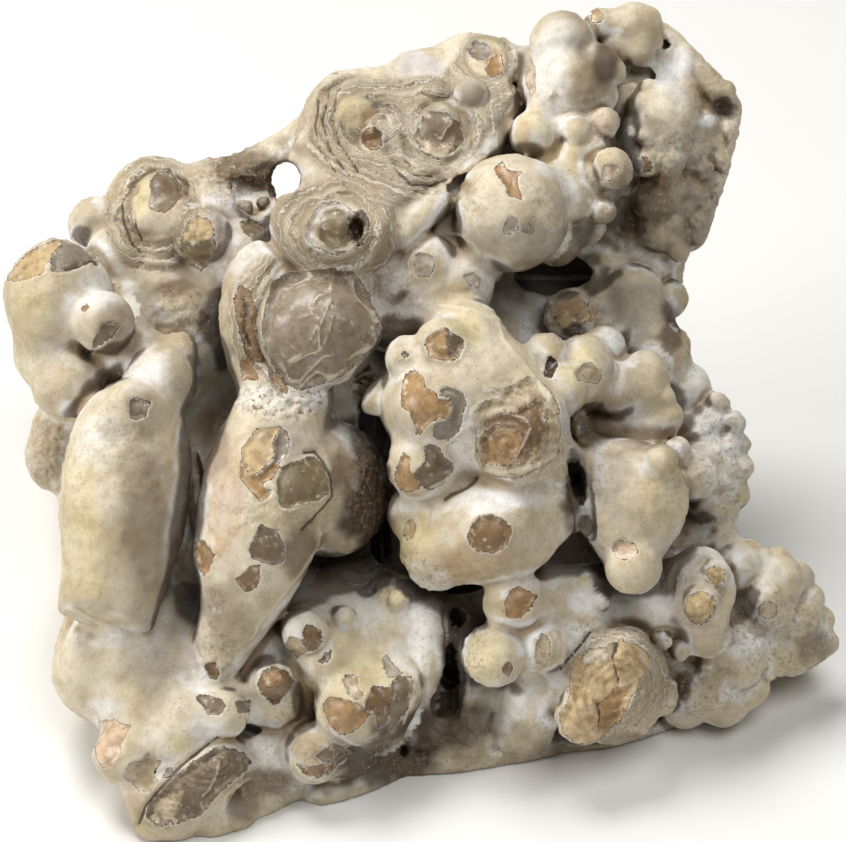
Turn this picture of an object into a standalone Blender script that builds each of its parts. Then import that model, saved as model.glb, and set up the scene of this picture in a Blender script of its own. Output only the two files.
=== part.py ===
"""Broken block of cave stalactites that grew together, as one solid.

Units are metres, +Z is up, and the block rests on a flat cut at z = 0.  Its show face looks
towards -Y and upwards.

The lumps are laid out on a grid, the way a modeller would sketch the show face: columns run
across, rows run down, and "out" is the height of a lump's middle above the sketch's plane.
The sketch leans back by LEAN, and it is drawn in perspective from a point EYE away from it,
so a lump that stands further out is drawn larger.  One grid step is STEP long.
"""

import math
import random

import bmesh
import bpy
from mathutils import Matrix, Vector, noise

STEP = 0.00018                 # one step of the layout grid
LEAN = math.radians(40)        # the sketch's sight line looks down this steeply
EYE = 0.600                    # from the viewer's eye to the middle of the sketch
MIDDLE = (423, 421)            # grid column and row of the sketch's middle
SKETCH_AT = (-0.0005, -0.0067, 308 * STEP)   # world position of the sketch's middle
BACK_Y = 0.0563                # the middle of the broken back
BACK_RELIEF = 0.0045           # how far the break wanders to either side of that
BACK_GRAIN = 38                # size of the break's humps, as humps per metre
BLOCK_FRONT = -150 * STEP      # the block behind the lumps starts this far out
BLOCK_DEPTH = 0.085            # and runs this far back, before the back is broken off
KNOB_SPACING = 46              # grid steps between the knobs on the block's sides
KNOB_RADII = (20, 34)
KNOB_SUNK = 0.38               # share of a knob's radius that its middle is sunk by
KNOB_MARGIN = 1.7              # a knob keeps this many radii from the base and the back
KNOB_SEED = 7
ROOM = 0.4                     # size of the cutters, well over the block's
BASE_MARGIN = 0.002            # stone left under the base until the last cut
FINE_RADIUS = 30               # lumps over this radius, in grid steps, get finer balls
SEAM_VOXEL = 0.0011            # fineness at which the lumps are fused
FUSED_VOXEL = 0.0013           # fineness of the body after its hollows are cut
SOFTENING = 7                  # passes of smoothing over the fused body
TRIANGLES = 9300               # left after decimation, before the base is cut
STONE = (0.63, 0.56, 0.45, 1.0)

# Outline of the block that the lumps grew on: (column, row)
BLOCK_OUTLINE = [
    (58, 310), (100, 264), (190, 256), (305, 246), (330, 170), (348, 112), (420, 92), (500, 74),
    (590, 44), (640, 42), (700, 112), (688, 210), (648, 262), (652, 330), (676, 402),
    (712, 452), (714, 520), (732, 572), (764, 604), (770, 640), (730, 686), (640, 712),
    (540, 734), (400, 750), (330, 778), (230, 796), (156, 796), (122, 730), (86, 680),
    (92, 600), (90, 500), (72, 440), (52, 380),
]

# The bulk behind the show face: (column, row, out, radius)
BULK = [
    (135, 360, -125, 92), (225, 310, -150, 95), (395, 250, -190, 108), (505, 185, -215, 112),
    (600, 170, -230, 104), (622, 270, -200, 58), (410, 150, -150, 70), (470, 120, -160, 66),
    (150, 500, -150, 88), (300, 450, -200, 120), (430, 400, -200, 130), (560, 420, -205, 110),
    (655, 470, -160, 72), (150, 650, -72, 90), (170, 740, -18, 62), (280, 650, -90, 100),
    (400, 640, -120, 100), (530, 650, -120, 84), (640, 620, -110, 84), (735, 615, -120, 66),
    (440, 690, -80, 66), (170, 430, -290, 95), (330, 400, -320, 120), (490, 380, -320, 120),
    (610, 420, -290, 84), (250, 560, -192, 110), (450, 560, -216, 130), (600, 540, -200, 100),
    (560, 95, -140, 62), (630, 90, -150, 64), (655, 150, -160, 56), (650, 225, -150, 38),
]

# Lumps are (column, row, out, radius), or ovals with a width, height, depth and turn in
# degrees.  A list of lumps inside a group is a finger, swept from each to the next.
SHOULDER = [
    (58, 300, -14, 54, 60, 54, 0), (50, 352, -24, 38), (104, 322, 24, 31), (68, 382, -4, 37),
    (160, 384, 20, 36, 44, 40, -20), (178, 352, 10, 20), (150, 352, 2, 22),
    (58, 452, -130, 33, 40, 38, -20), (52, 428, -130, 22), (140, 300, -60, 42),
    (180, 320, -78, 60), (215, 270, -60, 34), (170, 265, -70, 38), (122, 352, -12, 32),
    (128, 330, -24, 30), (134, 412, 56, 34),
]
LOWER_LEFT = [
    (100, 668, -36, 49), (150, 650, -48, 60), (150, 700, -12, 50), (130, 752, 16, 36),
    (150, 794, 18, 28), (190, 788, 16, 68, 37, 38, 40), (178, 812, 10, 28), (222, 712, 24, 26),
    (262, 752, -22, 36), (200, 660, -24, 45), (185, 720, 12, 40), (255, 792, -22, 30),
    (234, 814, -8, 24), (290, 770, -34, 32), (212, 816, 0, 26), (270, 782, -30, 30),
]
UPPER_LEFT = [
    (94, 222, -80, 27), (178, 230, -56, 34), (202, 236, -10, 27), (226, 208, -50, 27),
    (118, 258, -55, 32), (238, 258, -38, 36), (196, 200, -80, 30),
    [(200, 188, -90, 23), (246, 178, -100, 22), (286, 156, -102, 20), (318, 134, -94, 22)],
    (240, 205, -100, 36), (262, 222, -70, 28),
]
MIDDLE_FINGER = [
    (262, 312, 14, 42, 70, 46, 0), (262, 366, 10, 32), (286, 398, 18, 48, 40, 44, 0),
    [(281, 420, 24, 47), (272, 453, 32, 56), (268, 496, 38, 66), (256, 539, 38, 61),
     (249, 579, 34, 47), (238, 610, 28, 34), (224, 640, 20, 27), (216, 665, 10, 19),
     (212, 692, 4, 20)],
    (330, 488, -14, 57, 70, 60, 0), (356, 316, 10, 34), (390, 310, -30, 44),
]
CENTRE_CLUSTER = [
    (425, 263, 6, 31), (468, 279, -2, 27), (442, 300, -24, 50), (398, 285, -50, 46),
    (482, 262, -34, 24), (452, 236, -36, 32), (468, 332, 24, 34), (465, 400, 34, 84, 78, 62, 0),
    (442, 346, 64, 28), (406, 357, 54, 22), (432, 405, 66, 38), (380, 398, 30, 16),
    (370, 404, 28, 9), (384, 386, 28, 12), (520, 430, 56, 52, 56, 50, 0), (424, 464, 46, 38),
    (560, 392, 28, 30), (580, 428, 8, 14), (552, 462, 36, 32), (545, 356, 14, 24),
    (490, 528, 32, 72, 58, 50, 10), (492, 532, 54, 42), (548, 512, 26, 32), (440, 552, 20, 38),
    (420, 512, 18, 32), (570, 516, 12, 13),
]
RIGHT_MIDDLE = [
    (548, 360, 0, 22), (585, 372, 0, 30, 38, 30, 0), (583, 394, 16, 14), (560, 392, -20, 34),
    (616, 392, -22, 30), (602, 350, -40, 24), (644, 384, -30, 27, 35, 28, 0),
    (664, 398, -22, 13), (669, 415, -28, 16), (571, 315, -112, 27), (600, 336, -98, 20),
    (628, 292, -112, 27), (604, 304, -116, 22), (640, 330, -118, 38), (668, 300, -136, 20),
    (666, 348, -116, 25), (686, 392, -100, 28), (655, 360, -92, 34), (596, 280, -155, 40),
    (708, 462, -92, 38), (718, 404, -85, 14), (732, 424, -84, 14), (738, 446, -84, 14),
    (738, 470, -84, 14), (735, 494, -88, 16), (722, 514, -92, 18), (706, 500, -90, 24),
    (700, 432, -78, 20), (712, 418, -80, 18), (690, 470, -60, 24), (640, 430, -44, 38),
    (600, 440, -34, 40), (714, 455, -66, 14), (720, 478, -70, 14), (706, 474, -62, 13),
]
UPPER_RIGHT = [
    (562, 44, -72, 33), (566, 92, -60, 44, 42, 38, 0), (598, 66, -62, 22), (612, 72, -62, 14),
    (534, 134, -34, 26), (574, 132, -30, 18), (604, 124, -38, 15), (512, 212, 4, 57, 60, 54, 0),
    (566, 192, -34, 38), (612, 170, -14, 22), (602, 212, -20, 16), (588, 236, -48, 24),
    (560, 250, -50, 30), (603, 25, -88, 18), (630, 28, -94, 26), (644, 24, -96, 20),
    (640, 54, -86, 17), (615, 50, -84, 15), (655, 96, -80, 16), (645, 116, -78, 22),
    (674, 120, -86, 27), (645, 160, -62, 15), (674, 170, -70, 13), (655, 150, -96, 34),
    (656, 62, -130, 34), (690, 96, -136, 34), (696, 140, -132, 36), (686, 190, -132, 36),
    (660, 204, -92, 26, 16, 20, 0), (664, 238, -100, 28, 22, 24, 0), (650, 262, -140, 24),
    (698, 212, -132, 16),
    [(660, 28, -116, 12), (690, 62, -124, 12), (714, 92, -128, 12), (724, 108, -128, 14),
     (720, 146, -130, 14), (714, 176, -130, 12), (702, 206, -130, 12), (694, 232, -130, 12)],
]
LOWER_RIGHT = [
    (628, 500, 8, 60, 62, 50, 0), (630, 536, 12, 38), (596, 478, -6, 40), (660, 462, 42, 18),
    (694, 474, -24, 26), (678, 450, -6, 15), (633, 566, 34, 28), (698, 592, -18, 38, 44, 36, 0),
    (718, 573, 6, 14), (703, 603, 14, 18), (704, 632, -32, 28), (766, 602, -62, 30),
    (778, 580, -70, 26), (798, 618, -80, 26), (812, 645, -100, 20), (790, 650, -100, 28),
    (828, 643, -104, 14), (747, 554, -80, 16), (777, 561, -82, 16), (796, 579, -84, 18),
    (810, 600, -84, 16), (823, 620, -94, 15), (720, 542, -90, 22), (740, 570, -70, 30),
    (735, 655, -54, 32), (704, 684, -66, 32), (722, 700, -84, 26), (744, 684, -84, 24),
    (764, 654, -84, 26), (684, 704, -86, 24), (612, 686, -10, 56, 58, 42, 20),
    (626, 655, 16, 28), (584, 714, 18, 29), (644, 668, 0, 22), (655, 694, -28, 24),
    (514, 600, 22, 31), (546, 606, -16, 40), (496, 654, 18, 32), (542, 647, 14, 27),
    (520, 640, -14, 38), (580, 600, -24, 36), (576, 630, -14, 34), (587, 580, -4, 12),
    (535, 700, -44, 34), (520, 722, -70, 34), (610, 596, -40, 38), (655, 600, -44, 42),
    (560, 660, -34, 44),
]
LOWER_MIDDLE = [
    (332, 640, -30, 54), (304, 628, 8, 25), (342, 622, -2, 18), (326, 660, 10, 30),
    (273, 681, 4, 27), (276, 680, 24, 15), (398, 628, -28, 42, 50, 40, 0), (397, 600, 8, 12),
    (426, 645, -14, 25, 52, 30, 0), (366, 696, -6, 50, 56, 44, 0), (350, 708, 12, 34),
    (388, 692, 8, 30), (318, 750, -8, 36, 28, 32, 0), (435, 720, -90, 42), (290, 730, -36, 36),
    (340, 745, -30, 36), (457, 731, -70, 38), (380, 752, -58, 26),
    [(212, 692, 4, 20), (248, 702, 2, 20), (280, 706, 0, 20)],
    [(318, 796, -32, 16), (340, 790, -40, 18), (362, 783, -48, 19), (400, 764, -68, 19),
     (440, 762, -70, 20), (480, 757, -76, 20), (520, 752, -84, 20), (560, 744, -94, 20),
     (600, 742, -98, 20), (640, 732, -110, 20), (684, 710, -130, 20)],
]
BROKEN_RIDGE = [[(492, 140, -44, 11), (450, 190, -8, 12), (400, 236, 30, 12)]]

# Lumps that were snapped off.  Each group ends at a flat break: (column, row, out) of a point
# on it, and how far its normal points across, up and out of the sketch.
TOP_BREAK = (336, 230, 60), (0, 0.78, 1)
TOP_BROKEN = [
    (336, 228, 14, 66, 58, 60, 0), (318, 330, 36, 62, 56, 52, 0), (352, 122, -80, 50),
    (326, 166, -60, 40), (388, 118, -80, 50), (430, 98, -100, 52), (474, 80, -114, 48),
    (503, 74, -118, 32), (440, 140, -60, 54), (400, 180, -30, 50), (480, 120, -80, 44),
    (330, 190, -30, 40), (450, 200, -40, 34), (370, 200, -10, 50),
]
LEFT_BREAK = (155, 210, -40), (0, 0.74, 1)
LEFT_BROKEN = [(155, 208, -78, 51)]
FINGER_BREAK = (104, 622, 30), (-0.2, -1, 0.3)
LEFT_FINGER = [
    [(130, 440, 28, 58), (126, 480, 34, 62), (123, 510, 34, 61), (119, 546, 32, 56),
     (112, 584, 28, 50), (104, 620, 26, 43), (98, 650, 26, 38)],
]

# Hollows: lumps that are taken away
HOLLOWS = [
    (250, 194, -44, 22), (278, 198, -30, 14),          # shaded pocket under the upper edge
    (342, 228, 66, 20, 18, 34, 0),                     # mouth of the snapped stalactite's tube
]
THROUGH_HOLE = [(287, 179, -260, 16), (287, 179, 40, 13)]


def sight_to_world():
    """Axes of the sketch (across, up, out) written in the world's axes."""
    s, c = math.sin(LEAN), math.cos(LEAN)
    return Matrix(((1, 0, 0), (0, s, -c), (0, c, s)))


def place(column, row, out):
    """World position of a point of the sketch."""
    nearness = 1 - out * STEP / EYE
    across = (column - MIDDLE[0]) * STEP * nearness
    up = (MIDDLE[1] - row) * STEP * nearness
    point = sight_to_world() @ Vector((across, up, out * STEP))
    return point + Vector(SKETCH_AT)


def lump_matrix(lump):
    """Matrix that turns a ball of radius 1 into the lump."""
    column, row, out = lump[:3]
    if len(lump) == 4:
        width = height = depth = lump[3]
        turn = 0
    else:
        width, height, depth, turn = lump[3:]
    size = STEP * (1 - out * STEP / EYE)
    axes = sight_to_world() @ Matrix.Rotation(math.radians(turn), 3, "Z")
    scale = Matrix.Diagonal((width * size, height * size, depth * size, 1))
    return Matrix.Translation(place(column, row, out)) @ axes.to_4x4() @ scale


def swept(finger):
    """Lumps that fill in the way from each lump of a finger to the next."""
    lumps = []
    for first, second in zip(finger[:-1], finger[1:]):
        gap = math.dist(first[:3], second[:3])
        count = max(2, round(gap / (0.35 * min(first[3], second[3]))))
        for i in range(count):
            share = i / count
            lumps.append(tuple(a + (b - a) * share for a, b in zip(first, second)))
    lumps.append(finger[-1])
    return lumps


def add_lumps(mesh, entries, cut=None):
    """Adds a ball for each lump to the mesh, each capped at the cut plane if there is one."""
    data = bpy.data.meshes.new("lump")
    for entry in entries:
        for lump in swept(entry) if isinstance(entry, list) else [entry]:
            ball = bmesh.new()
            fineness = 3 if lump[3] > FINE_RADIUS else 2
            bmesh.ops.create_icosphere(ball, subdivisions=fineness, radius=1,
                                       matrix=lump_matrix(lump))
            if cut:
                cap_ball(ball, *cut)
            ball.to_mesh(data)
            ball.free()
            mesh.from_mesh(data)
    bpy.data.meshes.remove(data)


def cap_ball(ball, point, normal):
    """Cuts away what the ball has beyond a plane, and closes it with a flat cap."""
    geometry = ball.verts[:] + ball.edges[:] + ball.faces[:]
    result = bmesh.ops.bisect_plane(ball, geom=geometry, dist=1e-7, plane_co=point,
                                    plane_no=normal, clear_outer=True)
    rim = [item for item in result["geom_cut"] if isinstance(item, bmesh.types.BMEdge)]
    if rim:
        bmesh.ops.edgenet_fill(ball, edges=rim)


def break_plane(point, normal):
    """World position and unit normal of a broken face."""
    return place(*point), sight_to_world() @ Vector(normal).normalized()


def new_object(name, mesh, collection):
    """Object in the collection, made from a bmesh."""
    data = bpy.data.meshes.new(name)
    bmesh.ops.recalc_face_normals(mesh, faces=mesh.faces[:])
    mesh.to_mesh(data)
    mesh.free()
    item = bpy.data.objects.new(name, data)
    collection.objects.link(item)
    return item


def add_block(mesh):
    """Adds the block: its outline, extruded away from the viewer."""
    curve = bpy.data.curves.new("block", "CURVE")
    curve.dimensions = "2D"
    curve.fill_mode = "BOTH"
    curve.extrude = BLOCK_DEPTH / 2
    spline = curve.splines.new("POLY")
    spline.use_cyclic_u = True
    spline.points.add(len(BLOCK_OUTLINE) - 1)
    for point, (column, row) in zip(spline.points, BLOCK_OUTLINE):
        point.co = ((column - MIDDLE[0]) * STEP, (MIDDLE[1] - row) * STEP, 0, 1)
    guide = bpy.data.objects.new("block", curve)
    bpy.context.scene.collection.objects.link(guide)
    graph = bpy.context.evaluated_depsgraph_get()
    data = bpy.data.meshes.new_from_object(guide.evaluated_get(graph))
    back = Matrix.Translation((0, 0, BLOCK_FRONT - BLOCK_DEPTH / 2))
    data.transform(Matrix.Translation(SKETCH_AT) @ sight_to_world().to_4x4() @ back)
    mesh.from_mesh(data)
    bmesh.ops.remove_doubles(mesh, verts=mesh.verts[:], dist=1e-7)
    bpy.data.objects.remove(guide)
    bpy.data.meshes.remove(data)


def side_knobs():
    """Small lumps all over the block's sides, clear of its base and its broken back."""
    dice = random.Random(KNOB_SEED)
    knobs = []
    depth_steps = (BLOCK_DEPTH - BLOCK_FRONT) / STEP
    corners = BLOCK_OUTLINE + BLOCK_OUTLINE[:1]
    for start, end in zip(corners[:-1], corners[1:]):
        length = math.dist(start, end)
        inward = Vector((start[1] - end[1], end[0] - start[0])).normalized()
        for i in range(max(1, round(length / KNOB_SPACING))):
            share = (i + 0.5) * KNOB_SPACING / max(length, KNOB_SPACING)
            out = -depth_steps + KNOB_SPACING * dice.random()
            while out < BLOCK_FRONT / STEP + KNOB_SPACING:
                radius = dice.uniform(*KNOB_RADII)
                along = share + dice.uniform(-0.3, 0.3) * KNOB_SPACING / length
                spot = Vector(start).lerp(Vector(end), along) + inward * radius * KNOB_SUNK
                middle = place(spot.x, spot.y, out)
                margin = KNOB_MARGIN * radius * STEP
                if middle.z > margin and middle.y < BACK_Y - margin:
                    knobs.append((spot.x, spot.y, out, radius))
                out += KNOB_SPACING * dice.uniform(0.8, 1.3)
    return knobs


def new_collection(name):
    collection = bpy.data.collections.new(name)
    bpy.context.scene.collection.children.link(collection)
    return collection


def cutter(name, mesh, cutters):
    item = new_object(name, mesh, cutters)
    item.display_type = "WIRE"
    item.hide_render = True
    return item


def below(height, name, cutters):
    """Box that holds everything below a height."""
    mesh = bmesh.new()
    matrix = Matrix.Translation((0, 0, height - ROOM / 2))
    bmesh.ops.create_cube(mesh, size=ROOM, matrix=matrix)
    return cutter(name, mesh, cutters)


def broken_back(cutters):
    """Everything behind an uneven break."""
    mesh = bmesh.new()
    matrix = Matrix.Translation((0, BACK_Y, 0)) @ Matrix.Rotation(math.radians(90), 4, "X")
    bmesh.ops.create_grid(mesh, x_segments=44, y_segments=44, size=0.15, matrix=matrix)
    for vert in mesh.verts:
        vert.co.y += BACK_RELIEF * noise.fractal(vert.co * BACK_GRAIN, 0.9, 2.0, 3)
    extruded = bmesh.ops.extrude_face_region(mesh, geom=mesh.faces[:])
    far_side = [item for item in extruded["geom"] if isinstance(item, bmesh.types.BMVert)]
    bmesh.ops.translate(mesh, verts=far_side, vec=(0, BLOCK_DEPTH, 0))
    return cutter("back", mesh, cutters)


def fuse(block, voxel):
    remesh = block.modifiers.new("Fuse", "REMESH")
    remesh.mode = "VOXEL"
    remesh.voxel_size = voxel
    remesh.use_smooth_shade = True


def cut_away(block, tool):
    boolean = block.modifiers.new("Cut " + tool.name, "BOOLEAN")
    boolean.operation = "DIFFERENCE"
    boolean.object = tool
    boolean.solver = "EXACT"


def stone_material():
    material = bpy.data.materials.new("flowstone")
    material.use_nodes = True
    surface = material.node_tree.nodes["Principled BSDF"]
    surface.inputs["Base Color"].default_value = STONE
    surface.inputs["Roughness"].default_value = 0.6
    surface.inputs["Metallic"].default_value = 0.0
    return material


def build_body(parts):
    """All lumps in one mesh, still overlapping."""
    mesh = bmesh.new()
    add_block(mesh)
    for group in (side_knobs(), BULK, SHOULDER, LOWER_LEFT, UPPER_LEFT, MIDDLE_FINGER,
                  CENTRE_CLUSTER, RIGHT_MIDDLE, UPPER_RIGHT, LOWER_RIGHT, LOWER_MIDDLE,
                  BROKEN_RIDGE):
        add_lumps(mesh, group)
    add_lumps(mesh, TOP_BROKEN, break_plane(*TOP_BREAK))
    add_lumps(mesh, LEFT_BROKEN, break_plane(*LEFT_BREAK))
    add_lumps(mesh, LEFT_FINGER, break_plane(*FINGER_BREAK))
    return new_object("stalactite", mesh, parts)


def build_hollows(cutters):
    mesh = bmesh.new()
    add_lumps(mesh, HOLLOWS)
    add_lumps(mesh, [THROUGH_HOLE])
    hollows = cutter("hollows", mesh, cutters)
    fuse(hollows, SEAM_VOXEL)
    return hollows


def decimate_to(block, triangles):
    """Decimate modifier with the ratio that leaves about this many triangles."""
    bpy.context.view_layer.update()
    graph = bpy.context.evaluated_depsgraph_get()
    evaluated = block.evaluated_get(graph)
    data = evaluated.to_mesh()
    data.calc_loop_triangles()
    count = len(data.loop_triangles)
    evaluated.to_mesh_clear()
    decimate = block.modifiers.new("Decimate", "DECIMATE")
    decimate.ratio = min(1.0, triangles / count)
    decimate.use_collapse_triangulate = True


def main():
    for item in list(bpy.data.objects):
        bpy.data.objects.remove(item)
    parts = new_collection("stalactite block")
    cutters = new_collection("cutters")

    block = build_body(parts)
    block.data.materials.append(stone_material())
    fuse(block, SEAM_VOXEL)
    smooth = block.modifiers.new("Soften", "SMOOTH")
    smooth.factor = 0.5
    smooth.iterations = SOFTENING
    cut_away(block, build_hollows(cutters))
    cut_away(block, below(-BASE_MARGIN, "below the base", cutters))
    cut_away(block, broken_back(cutters))
    fuse(block, FUSED_VOXEL)
    decimate_to(block, TRIANGLES)
    cut_away(block, below(0.0, "base", cutters))


main()
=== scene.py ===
"""Looks of the stalactite block: its crust, peeled chips, snapped ring ends and light.

The stone is modelled as a distance field on a grid: lumps are blended into each other, broken
ends and hollows are cut away, and the zero surface is meshed.  The mesh is then carved along
its normals with chips, rings, cracks and grains.  Where each finish lies is stored on the mesh
as attributes, which one procedural material reads.  The surface is shared out into pieces
along the creases between its groups of lumps.

Layout tables are drawn on a grid of steps of STEP_MM: columns run across, rows run down, and
"out" is the height above the sketch's plane.  The sketch leans back by LEAN and is drawn in
perspective from EYE_MM away, which is also where the camera stands.
"""

import math
import random

import bpy
import numpy as np
import openvdb
from mathutils import Matrix, Vector, noise

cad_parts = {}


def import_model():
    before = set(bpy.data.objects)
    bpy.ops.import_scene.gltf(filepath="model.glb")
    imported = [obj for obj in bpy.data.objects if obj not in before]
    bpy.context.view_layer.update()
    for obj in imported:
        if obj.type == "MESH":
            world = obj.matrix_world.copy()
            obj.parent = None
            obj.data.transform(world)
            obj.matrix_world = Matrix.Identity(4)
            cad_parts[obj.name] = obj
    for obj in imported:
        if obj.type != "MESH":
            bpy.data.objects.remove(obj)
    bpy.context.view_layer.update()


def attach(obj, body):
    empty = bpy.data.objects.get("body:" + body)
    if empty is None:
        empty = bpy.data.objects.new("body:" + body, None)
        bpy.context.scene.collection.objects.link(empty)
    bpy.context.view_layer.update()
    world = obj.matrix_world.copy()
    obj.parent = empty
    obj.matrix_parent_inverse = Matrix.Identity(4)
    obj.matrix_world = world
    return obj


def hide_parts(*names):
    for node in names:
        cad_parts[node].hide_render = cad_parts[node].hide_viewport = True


# ---------------------------------------------------------------- driving dimensions
# The sketch, and the eye that it is drawn from
STEP_MM = 0.18
LEAN = math.radians(40)
EYE_MM = 600.0
MIDDLE = (423, 421)            # column and row that the camera looks at
SKETCH_WIDTH = 846             # columns that the camera takes in
SKETCH_AT_MM = np.array((-0.5, -6.7, 308 * STEP_MM))    # where that middle stands in the room

# The block, its broken back, and the small knobs on its sides
BACK_MM = 56.3                 # where the stone is broken off behind
BACK_RELIEF_MM = 4.5
BACK_GRAIN = 0.038             # size of the break's humps, as humps per mm
BLOCK_FRONT_MM = -150 * STEP_MM
BLOCK_DEPTH_MM = 85.0
BLOCK_BLEND_MM = 2.0
KNOB_SUNK = 0.38               # how deep a side knob's middle lies, in its radii
KNOB_MARGIN = 1.7              # how far it keeps from the base and the break, in its radii
KNOB_SETS = ((7, 46, (20, 34)), (19, 22, (6, 16)))      # seed, spacing and radii in steps

# The grid that the stone is grown on
GRID_MM = 0.5
ROOM_LOW = np.array((-81.0, -64.0, -3.0))
ROOM_HIGH = np.array((81.0, 64.0, 110.0))
FAR = 6.0                      # distances in mm are stored up to here

# How far lumps melt into each other, and how round the rims of hollows and breaks are
BULK_BLEND_MM = 6.0
FINGER_BLEND_MM = 1.5
FINGER_STEP = 0.35             # between a finger's lumps, in radii
BLEND_SHARE = 0.3              # of a lump's smallest radius
HOLLOW_BLEND_MM = 1.0
FINE_BLEND_MM = 0.6
TUBE_BLEND_MM = 0.3
SNAP_BLEND_MM = 1.2
SNAP_JOIN_MM = 1.5
BACK_BLEND_MM = 0.8

# Marks on the surface, and what the sketch's viewer sees of it
MARK_REACH_MM = 1.6            # marks are worked out this far outside their outlines
FAR_FROM_MARK_MM = 3.0         # distance given to vertices with no mark near them
RING_MELT_MM = 1.6             # how far growth layers around two middles melt together
SIGHT_CELL = 4.0               # steps between the lines of sight that find what is hidden
SIGHT_CELLS = 280              # lines of sight each way
SIGHT_MARGIN = 20              # of them before column and row 0
SIGHT_DEPTH = 34               # steps behind the front that still count as seen

# Grains of the crust, and peeled spots on the sides that the sketch doesn't show
COARSE_GRAIN_MM = 1.7
FINE_GRAIN_MM = 0.95
GRAIN_SCATTER = 0.42           # how far a grain's middle strays from its cell's, in cells
FAR_CHIP_SEED = 5
FAR_CHIP_COUNT = 130
FAR_CHIP_RADII = (1.2, 1.6, 2.0, 2.6, 3.2, 4.0)

# Camera and floor
SENSOR_MM = 36.0               # width of the camera's sensor
CAMERA_CLIP_M = 0.05
FLOOR_REACH_M = 3.0            # half of the floor's side
MM_PER_METRE = 1000.0

# The sketch's directions across, up and out, one to a column, in the world's axes
SIGHT = np.array((
    (1, 0, 0),
    (0, math.sin(LEAN), -math.cos(LEAN)),
    (0, math.cos(LEAN), math.sin(LEAN)),
))

# Outline of the block that the lumps grew on: (column, row)
BLOCK_OUTLINE = [
    (58, 310), (100, 264), (190, 256), (305, 246), (330, 170), (348, 112), (420, 92), (500, 74),
    (590, 44), (640, 42), (700, 112), (688, 210), (648, 262), (652, 330), (676, 402), (712, 452),
    (714, 520), (732, 572), (764, 604), (770, 640), (730, 686), (640, 712), (540, 734), (400, 750),
    (330, 778), (230, 796), (156, 796), (122, 730), (86, 680), (92, 600), (90, 500), (72, 440),
    (52, 380),
]

# The bulk behind the show face: (column, row, out, radius)
BULK = [
    (135, 360, -125, 92), (225, 310, -150, 95), (395, 250, -190, 108), (505, 185, -215, 112),
    (600, 170, -230, 104), (622, 270, -200, 58), (410, 150, -150, 70), (470, 120, -160, 66),
    (150, 500, -150, 88), (300, 450, -200, 120), (430, 400, -200, 130), (560, 420, -205, 110),
    (655, 470, -160, 72), (150, 650, -72, 90), (170, 740, -18, 62), (280, 650, -90, 100),
    (400, 640, -120, 100), (530, 650, -120, 84), (640, 620, -110, 84), (735, 615, -120, 66),
    (440, 690, -80, 66), (170, 430, -290, 95), (330, 400, -320, 120), (490, 380, -320, 120),
    (610, 420, -290, 84), (250, 560, -192, 110), (450, 560, -216, 130), (600, 540, -200, 100),
    (560, 95, -140, 62), (630, 90, -150, 64), (655, 150, -160, 56), (650, 225, -150, 38),
]

# Lumps are (column, row, out, radius), or ovals with a width, height, depth and turn in
# degrees.  A list of lumps inside a group is a finger, swept from each to the next.
SHOULDER = [
    (58, 300, -14, 54, 60, 54, 0), (50, 352, -24, 38), (104, 322, 24, 31), (68, 382, -4, 37),
    (160, 384, 20, 36, 44, 40, -20), (178, 352, 10, 20), (150, 352, 2, 22),
    (58, 452, -130, 33, 40, 38, -20), (52, 428, -130, 22), (140, 300, -60, 42), (180, 320, -78, 60),
    (215, 270, -60, 34), (170, 265, -70, 38), (122, 352, -12, 32), (128, 330, -24, 30),
    (134, 412, 56, 34),
]
LOWER_LEFT = [
    (100, 668, -36, 49), (150, 650, -48, 60), (150, 700, -12, 50), (130, 752, 16, 36),
    (150, 794, 18, 28), (190, 788, 16, 68, 37, 38, 40), (178, 812, 10, 28), (222, 712, 24, 26),
    (262, 752, -22, 36), (200, 660, -24, 45), (185, 720, 12, 40), (255, 792, -22, 30),
    (234, 814, -8, 24), (290, 770, -34, 32), (212, 816, 0, 26), (270, 782, -30, 30),
]
UPPER_LEFT = [
    (94, 222, -80, 27), (178, 230, -56, 34), (202, 236, -10, 27), (226, 208, -50, 27),
    (118, 258, -55, 32), (238, 258, -38, 36), (196, 200, -80, 30),
    [(200, 188, -90, 23), (246, 178, -100, 22), (286, 156, -102, 20), (318, 134, -94, 22)],
    (240, 205, -100, 36), (262, 222, -70, 28),
]
MIDDLE_FINGER = [
    (262, 312, 14, 42, 70, 46, 0), (262, 366, 10, 32), (286, 398, 18, 48, 40, 44, 0),
    [(281, 420, 24, 47), (272, 453, 32, 56), (268, 496, 38, 66), (256, 539, 38, 61),
     (249, 579, 34, 47), (238, 610, 28, 34), (224, 640, 20, 27), (216, 665, 10, 19),
     (212, 692, 4, 20)],
    (330, 488, -14, 57, 70, 60, 0), (356, 316, 10, 34), (390, 310, -30, 44),
]
CENTRE_CLUSTER = [
    (425, 263, 6, 31), (468, 279, -2, 27), (442, 300, -24, 50), (398, 285, -50, 46),
    (482, 262, -34, 24), (452, 236, -36, 32), (468, 332, 24, 34), (465, 400, 34, 84, 78, 62, 0),
    (442, 346, 64, 28), (406, 357, 54, 22), (432, 405, 66, 38), (380, 398, 30, 16),
    (370, 404, 28, 9), (384, 386, 28, 12), (520, 430, 56, 52, 56, 50, 0), (424, 464, 46, 38),
    (560, 392, 28, 30), (580, 428, 8, 14), (552, 462, 36, 32), (545, 356, 14, 24),
    (490, 528, 32, 72, 58, 50, 10), (492, 532, 54, 42), (548, 512, 26, 32), (440, 552, 20, 38),
    (420, 512, 18, 32), (570, 516, 12, 13),
]
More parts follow.
